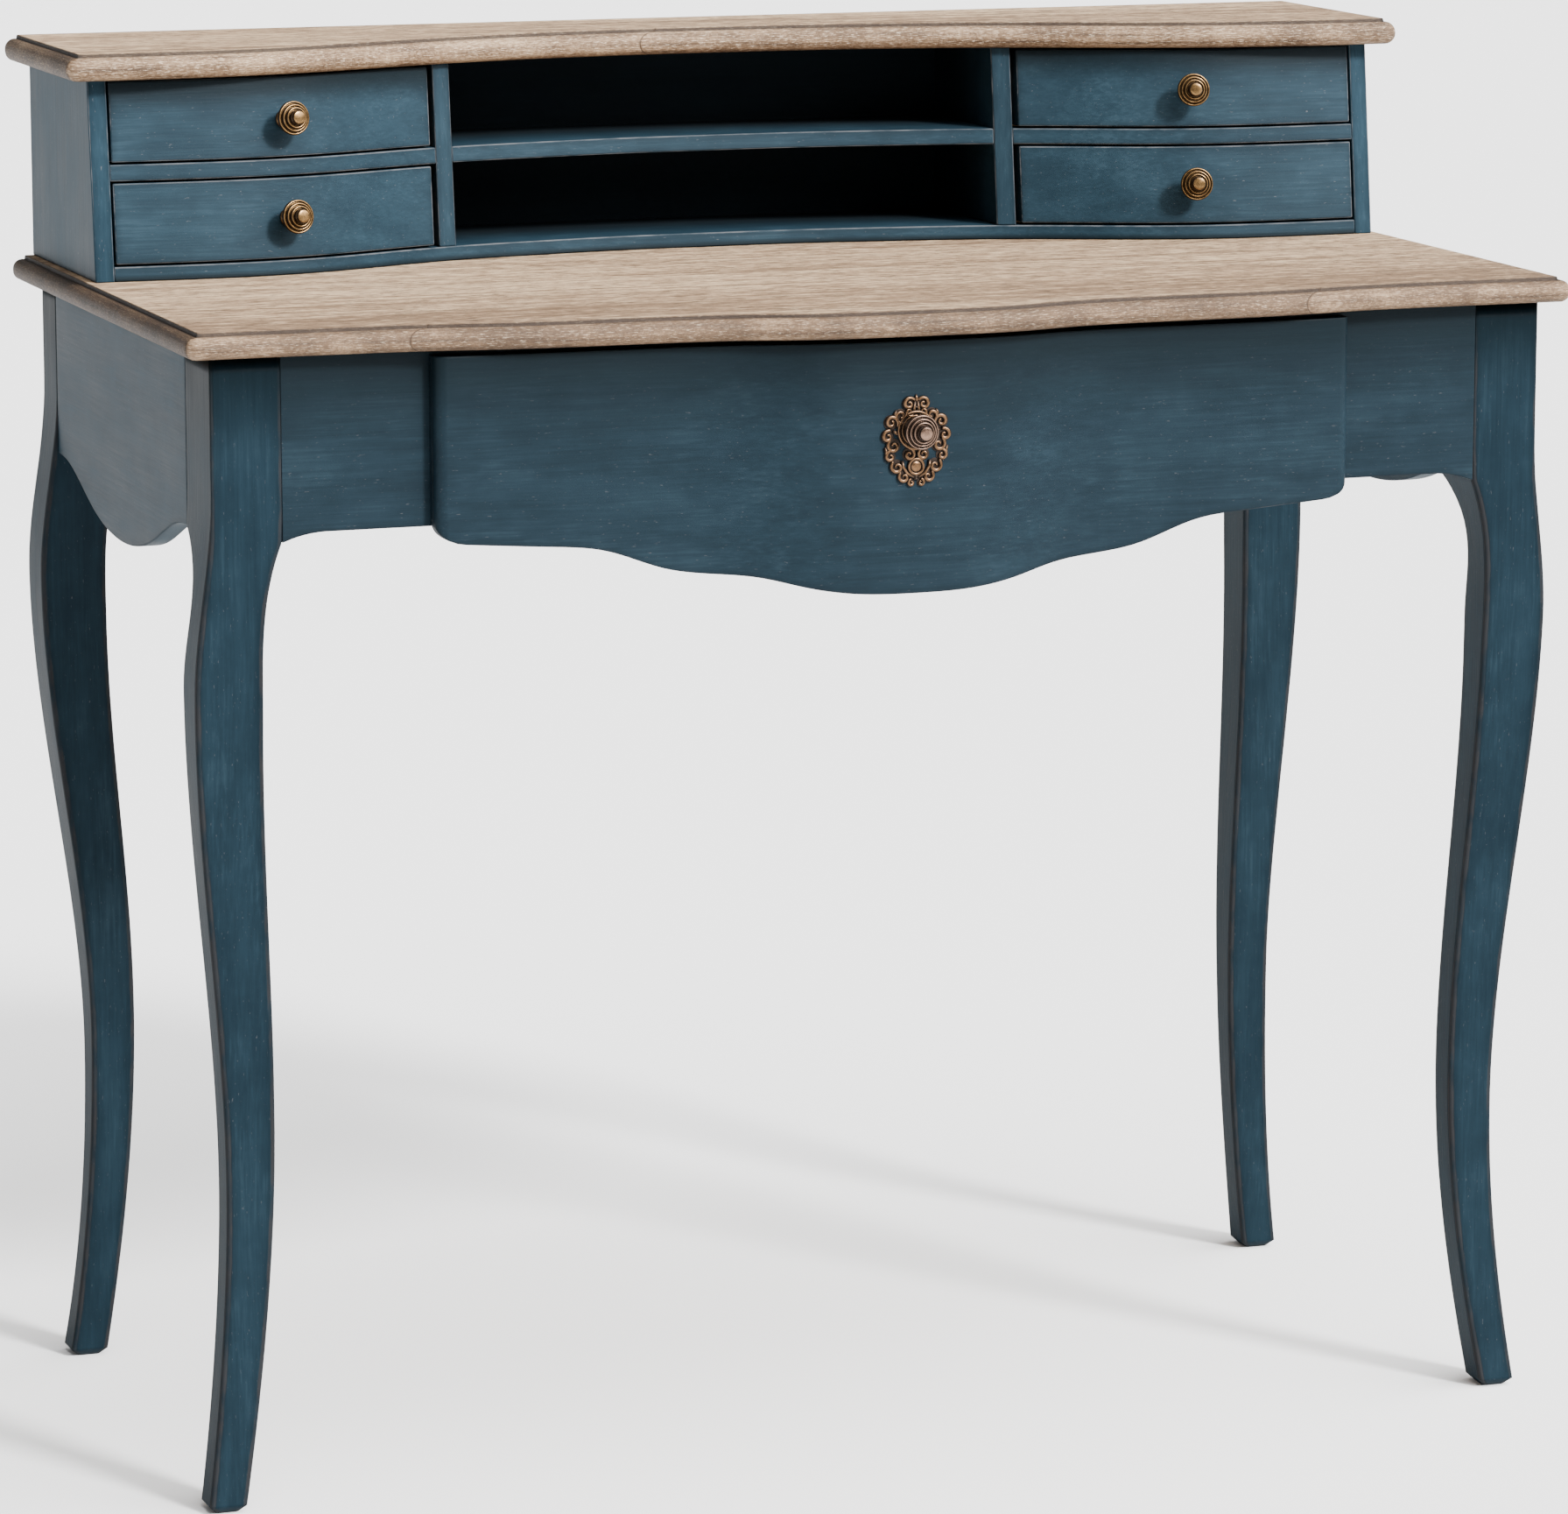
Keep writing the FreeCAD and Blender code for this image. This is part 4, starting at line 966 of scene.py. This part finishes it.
class MakeLegs(DeskOperator, bpy.types.Operator):
    """Make the four cabriole legs"""
    bl_idname = "desk.make_legs"
    bl_label = "Legs"

    def make(self, sizes, colours):
        # Painted shade: a darker copy of the paint for the legs, darkened further near the desk
        # top.
        paint = chalk_paint("leg_paint", "z", colours, LEG_SHADE_TONE, 1.6, 0.35, brown=True,
                            shaded_band=TABLE_SHADE, gloss=0.045)
        for row, profiles in (("front", FRONT_LEG), ("back", BACK_LEG)):
            for name, side in SIDES:
                leg(f"leg_{row}_{name}", side, profiles, paint, sizes)


class MakeAprons(DeskOperator, bpy.types.Operator):
    """Make the front flanks, the lobed end aprons and the back apron"""
    bl_idname = "desk.make_aprons"
    bl_label = "Aprons"

    def flank_low(self, x):
        share = (abs(x) - FLANK_TURN) / (POST_INNER - FLANK_TURN)
        if share <= 0:
            return FLANK_BOTTOM
        return hermite(share, FLANK_BOTTOM, 0, POST_BOTTOM, -0.012)

    def make(self, sizes, colours):
        # Painted shade: darker copies of the paint for the aprons, the front and back ones darkened
        # further under the moulding.
        front = chalk_paint("apron_paint", "x", colours, LOWER_SHADE_TONE, 0.7, 0.2, joined="x",
                            shaded_band=TABLE_SHADE, gloss=0.09)
        side = chalk_paint("end_paint", "y", colours, 0.92, 0.8, 0.2, gloss=0.05)
        middle = (FRONT_POST_BACK + BACK_POST_FRONT) / 2

        def between(low, t):
            return low + (LEG_TOP - low) * t

        for name, sign in SIDES:
            xs = sorted(sign * x for x in [OPENING_HALF_WIDTH] + steps(0.380, POST_INNER, 0.0035))
            board("seen_front_apron_" + name, "desk", "front_apron_" + name, front,
                  lambda x, t, y: (x, y, between(self.flank_low(x), t)),
                  xs, [0, 1], [FRONT_PLANE, FRONT_PLANE + FRONT_APRON_THICKNESS],
                  sizes.edge_round * 0.6)
            board("seen_side_apron_" + name, "desk", "side_apron_" + name, side,
                  lambda y, t, x: (x, y, between(SIDE_LOWER(y - middle), t)),
                  steps(FRONT_POST_BACK, BACK_POST_FRONT, sizes.curve_step), [0, 1],
                  mirrored(sign, SIDE_APRON_INNER, POST_OUTER), sizes.edge_round)
        board("seen_back_apron", "desk", "back_apron", front, straight,
              steps(-POST_INNER, POST_INNER, 0.1), BACK_APRON, [POST_BOTTOM, LEG_TOP],
              sizes.edge_round)


class MakeHutch(DeskOperator, bpy.types.Operator):
    """Make the hutch's sides, dividers, shelves and back"""
    bl_idname = "desk.make_hutch"
    bl_label = "Hutch"

    def make(self, sizes, colours):
        # Painted light and shade: the sides take a lighter copy of the paint, the inner boards,
        # shelves and back darken deeper in, and the shelves darken low down as a contact shadow.
        upright = chalk_paint("hutch_side_paint", "z", colours, 1.15, gloss=0.06, joined="z")
        inner = chalk_paint("hutch_upright_paint", "z", colours, bare=0.5, recess_shade=True, joined="z")
        level = chalk_paint("hutch_shelf_paint", "x", colours, bare=0.5, recess_shade=True, joined="x",
                            shaded_band=SHELF_SHADE)
        back = chalk_paint("hutch_back_paint", "x", colours, recess_shade=True)
        for name, sign in SIDES:
            for kind, x0, x1, low, deep, paint in (
                    ("side", HUTCH_INNER, HUTCH_OUTER, WRITING_HEIGHT, BACK, upright),
                    ("divider", DIVIDER_INNER, DIVIDER_OUTER, HUTCH_FLOOR, HUTCH_PANEL, inner)):
                hutch_board(f"hutch_{kind}_{name}", paint, *mirrored(sign, x0, x1), low,
                            HUTCH_TOP_UNDERSIDE, deep, sizes)
            hutch_board(f"hutch_drawer_shelf_{name}", level,
                        *mirrored(sign, DIVIDER_OUTER, HUTCH_INNER), SHELF, SHELF_TOP,
                        HUTCH_PANEL, sizes)
        hutch_board("hutch_shelf", level, -DIVIDER_INNER, DIVIDER_INNER, SHELF, SHELF_TOP,
                    HUTCH_PANEL, sizes)
        hutch_board("hutch_bottom", level, -HUTCH_INNER, HUTCH_INNER, WRITING_HEIGHT,
                    HUTCH_FLOOR, HUTCH_PANEL, sizes)
        panel = board("seen_hutch_back_panel", "desk", "hutch_back_panel", back, straight,
                      steps(-HUTCH_INNER, HUTCH_INNER, 0.1), [HUTCH_PANEL, BACK],
                      [WRITING_HEIGHT, HUTCH_TOP_UNDERSIDE], sizes.edge_round * 0.5)
        # The panel's face inside the hutch comes out near-black as painted shade; its rear keeps
        # the plain paint.
        mark(panel.data, "inward", [(BACK - v.co.y) * 20 for v in panel.data.vertices])


class MakeWideDrawer(DeskOperator, bpy.types.Operator):
    """Make the wide drawer's serpentine face"""
    bl_idname = "desk.make_wide_drawer"
    bl_label = "Wide drawer"

    def outline(self, step):
        """Half of the face's plan as (x, depth), with its rounded end."""
        turn = FACE_HALF_WIDTH - FACE_END_RADIUS
        front = [(x, FACE_CURVE(x)) for x in steps(0, turn, step)]
        centre = FACE_CURVE(FACE_HALF_WIDTH) + FACE_END_RADIUS
        rounded = [(turn + FACE_END_RADIUS * math.sin(a), centre - FACE_END_RADIUS * math.cos(a))
                   for a in np.linspace(0, math.pi / 2, 8)[1:]]
        return front + rounded

    def low(self, x):
        """Height of the face's shaped lower edge."""
        x = abs(x)
        foot, foot_height, end_height = 0.300, 0.636, 0.651
        if x <= foot:
            return FACE_LOWER(x)
        width = FACE_HALF_WIDTH - foot
        pull = 1.6 * width
        t = np.linspace(0, 1, 60)
        across = hermite(t, foot, pull, FACE_HALF_WIDTH, 0)
        rise = hermite(t, foot_height, 0.25 * width, end_height, pull)
        return float(np.interp(x, across, rise))

    def make(self, sizes, colours):
        # Painted shade: a darker copy of the paint, darkened further under the moulding.
        paint = chalk_paint("drawer_face_paint", "x", colours, LOWER_SHADE_TONE, 0.8, 0.25,
                            shaded_band=TABLE_SHADE, gloss=0.09)
        half = self.outline(sizes.curve_step)
        plan = [(-x, y) for x, y in reversed(half[1:])] + half
        depths = dict(plan)

        def point(x, t, r):
            low = self.low(x)
            front = depths[x]
            return x, front + (FACE_BACK - front) * r, low + (FACE_TOP - low) * t

        board("wide_drawer_face", "main_drawer", "main_drawer_front", paint, point,
              [x for x, _ in plan], [0, 0.5, 1], [0, 1], sizes.edge_round * 1.4)


class MakeSmallDrawers(DeskOperator, bpy.types.Operator):
    """Make the fronts of the four small drawers"""
    bl_idname = "desk.make_small_drawers"
    bl_label = "Small drawers"

    def make(self, sizes, colours):
        # Painted shade: the upper fronts darken near their tops, under the hutch top.
        paint = chalk_paint("small_drawer_paint", "x", colours, rubbed=0.8, bare=0.5,
                            shaded_band=HUTCH_SHADE)
        gap, inner_gap = 0.0015, 0.004
        x0, x1 = DIVIDER_OUTER + inner_gap, HUTCH_INNER - gap
        for tier, low, high in (("lower", HUTCH_FLOOR, SHELF),
                                ("upper", SHELF_TOP, HUTCH_TOP_UNDERSIDE)):
            for side, sign in SIDES:
                body = f"{tier}_{side}_drawer"

                def point(x, z, r):
                    return x, hutch_point(x, z, 0, 0)[1] + DRAWER_FRONT_THICKNESS * r, z

                board(body + "_face", body, body + "_front", paint, point,
                      steps(*mirrored(sign, x0, x1), sizes.curve_step),
                      [low + gap, high - gap], [0, 1],
                      sizes.edge_round * 1.1)


class MakeKnobs(DeskOperator, bpy.types.Operator):
    """Make the five turned brass knobs"""
    bl_idname = "desk.make_knobs"
    bl_label = "Knobs"

    def make(self, sizes, colours):
        gold = antique_brass("rubbed_brass", colours, colours.gold, 0.62)
        rose = antique_brass("dark_brass", colours, colours.rose, 0.60)
        profile = knob_profile(neck=14)
        for tier, height in KNOB_HEIGHTS.items():
            for side, sign in SIDES:
                x = sign * SMALL_KNOB_X
                outward = Vector((slope_at(HUTCH_CURVE, x), -1.0, HUTCH_LEAN)).normalized()
                seat = Vector(hutch_point(x, height, 0, 0))
                body = f"{tier}_{side}_drawer"
                turned(body + "_turned_knob", body, body + "_knob", seat, outward, profile,
                       sizes, gold)
        seat = Vector((0, FACE_CENTRE - PLATE_THICKNESS, MAIN_KNOB_HEIGHT))
        turned("wide_drawer_turned_knob", "main_drawer", "main_drawer_knob", seat,
               Vector((0, -1, 0)), knob_profile(neck=8), sizes, rose)


class MakeBackplate(DeskOperator, bpy.types.Operator):
    """Make the pierced scrollwork behind the wide drawer's knob"""
    bl_idname = "desk.make_backplate"
    bl_label = "Backplate"

    def make(self, sizes, colours):
        brass = antique_brass("cast_brass", colours, colours.cast, 0.42)
        lines = []
        for line in [scroll(*shape) for shape in SCROLLS] + STRAPS:
            lines += [line, [(-x, z, width) for x, z, width in line]]
        lines += MIDDLE_LINES
        middle = FACE_CENTRE - 0.0009
        shapes = [(line, False) for line in lines]
        shapes += [([(x, z + drop, width) for x, z in circle(radius, 32)], True)
                   for drop, radius, width in RINGS]
        mesh = swept([([(x * MM, middle, MAIN_KNOB_HEIGHT + z * MM, width)
                        for x, z, width in points], closed) for points, closed in shapes],
                     brass, sizes.wire / 2, 12)
        bm = bmesh.new()
        bm.from_mesh(mesh)
        bpy.data.meshes.remove(mesh)
        # Discs sunk in the scrolls' eyes come out black: dark sheets painted as the shade in the
        # gaps.
        studs = [(side * x, z, radius, 0.6, 0.1)
                 for (x, z), radius, *_ in SCROLLS for side in (-1, 1)]
        for x, z, radius, sunk, crown in studs + [KNOB_BED, JEWEL]:
            self.stud(bm, Vector((x * MM, middle + sunk * MM, MAIN_KNOB_HEIGHT + z * MM)),
                      radius * MM, crown * MM)
        mesh = settled(bm, "wide_drawer_scrollwork")
        # Everything behind the scrolls' middle, the sunk discs with it, comes out black as painted
        # shade.
        hollow_marks(mesh, Vector((0, -1, 0)), middle + 0.0003)
        show(mesh, "wide_drawer_scrollwork", "main_drawer",
             ["main_drawer_backplate"], [brass])

    def stud(self, bm, centre, radius, crown):
        """Low domed disc."""
        rings = []
        for share in (1.0, 0.97, 0.85, 0.6, 0.3):
            height = crown * math.sqrt(1 - share ** 2)
            rings.append([bm.verts.new(centre + Vector((x, -height, z)))
                          for x, z in circle(radius * share, 32)])
        back = [bm.verts.new((v.co.x, FACE_CENTRE, v.co.z)) for v in rings[0]]
        for low, high in zip([back] + rings, rings):
            for i in range(32):
                j = (i + 1) % 32
                bm.faces.new([low[i], low[j], high[j], high[i]])
        bm.faces.new(rings[-1])
        bm.faces.new(list(reversed(back)))


class MakeScrews(DeskOperator, bpy.types.Operator):
    """Make the wood screws that hold the blocks, the upper rail and the hutch"""
    bl_idname = "desk.make_screws"
    bl_label = "Wood screws"

    def make(self, sizes, colours):
        steel = zinc("zinc_screws")
        lines = [(screw_line(side * x, y, z, length), False)
                 for x, y, z, length in WOOD_SCREWS for side in (-1, 1)]
        mesh = swept(lines, steel, MM, 20)
        show(mesh, "threaded_wood_screws", "desk", ["wood_screws"], [steel])


class FinishHiddenWork(DeskOperator, bpy.types.Operator):
    """Finish the drawer boxes, rails, runners and bolts"""
    bl_idname = "desk.finish_hidden_work"
    bl_label = "Hidden work"

    def make(self, sizes, colours):
        woods = {axis: plain_wood("box_wood_along_" + axis, colours.box_wood, axis)
                 for axis in "xy"}
        steel = zinc("zinc_plate")
        # Painted shade: the rails take a dark copy of the paint, standing for the shaded gap under
        # the desk top.
        paint = chalk_paint("rail_paint", "x", colours, RAIL_SHADE_TONE, rubbed=0)
        for name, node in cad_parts.items():
            if node.hide_render:
                continue
            low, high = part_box(name)
            run = high - low
            material = woods["x" if run.x > run.y else "y"]
            if name.endswith("_bolt"):
                material = steel
            elif name.startswith("drawer_rail"):
                material = paint
            node.data.materials.clear()
            node.data.materials.append(material)


class MakeStage(DeskOperator, bpy.types.Operator):
    """Make the floor, the lights and the camera"""
    bl_idname = "desk.make_stage"
    bl_label = "Stage"

    def make(self, sizes, colours):
        scene = bpy.context.scene
        mesh = bpy.data.meshes.new("floor")
        reach = 60.0
        mesh.from_pydata([(-reach, -reach, 0), (reach, -reach, 0), (reach, reach, 0),
                          (-reach, reach, 0)], [], [(0, 1, 2, 3)])
        floor = bpy.data.objects.new("floor", mesh)
        finish = Finish("pale_floor")
        mesh.materials.append(finish.paint(srgb(230, 230, 230), 0.9))
        scene.collection.objects.link(floor)
        self.sky(scene)
        self.lamp("key", 8.0, (0.41, -0.77, 0.60), 10)
        self.lamp("overhead", 9.0, (0.45, -0.42, 0.80), 80)
        data = bpy.data.cameras.new("camera")
        data.lens = 155.0
        data.sensor_width = 36.0
        data.clip_end = 200.0
        camera = bpy.data.objects.new("camera", data)
        camera.location = (-1.5277, -4.2994, 1.2946)
        camera.rotation_euler = (math.radians(79.41), 0.0, math.radians(-19.49))
        scene.collection.objects.link(camera)
        scene.camera = camera

    def sky(self, scene):
        world = bpy.data.worlds.new("studio")
        world.use_nodes = True
        ground = world.node_tree.nodes["Background"]
        ground.inputs["Color"].default_value = (1.0, 1.0, 1.0, 1.0)
        ground.inputs["Strength"].default_value = 0.42
        scene.world = world

    def lamp(self, name, energy, toward, degrees):
        """Light that shines from a direction, as wide in the sky as some degrees."""
        data = bpy.data.lights.new(name, "SUN")
        data.energy = energy
        data.angle = math.radians(degrees)
        lamp = bpy.data.objects.new(name, data)
        lamp.rotation_mode = "QUATERNION"
        lamp.rotation_quaternion = Vector(toward).to_track_quat("Z", "Y")
        lamp.location = Vector(toward) * 4
        bpy.context.scene.collection.objects.link(lamp)


OPERATORS = (MakeTops, MakeLegs, MakeAprons, MakeHutch, MakeWideDrawer, MakeSmallDrawers,
             MakeKnobs, MakeBackplate, MakeScrews, FinishHiddenWork, MakeStage)


class DeskPanel(bpy.types.Panel):
    """Sizes, colours and makers of the desk"""
    bl_idname = "VIEW3D_PT_desk"
    bl_label = "Secretary Desk"
    bl_space_type = "VIEW_3D"
    bl_region_type = "UI"
    bl_category = "Desk"

    def draw(self, context):
        for group in (context.scene.desk_sizes, context.scene.desk_colours):
            for key in group.__annotations__:
                self.layout.prop(group, key)
        for operator in OPERATORS:
            self.layout.operator(operator.bl_idname)


CLASSES = (DeskSizes, DeskColours, *OPERATORS, DeskPanel)


def register():
    for cls in CLASSES:
        bpy.utils.register_class(cls)
    bpy.types.Scene.desk_sizes = PointerProperty(type=DeskSizes)
    bpy.types.Scene.desk_colours = PointerProperty(type=DeskColours)


def unregister():
    del bpy.types.Scene.desk_colours
    del bpy.types.Scene.desk_sizes
    for cls in reversed(CLASSES):
        bpy.utils.unregister_class(cls)


def main():
    register()
    for operator in OPERATORS:
        getattr(bpy.ops.desk, operator.bl_idname.split(".")[1])()


if __name__ == "__main__":
    main()
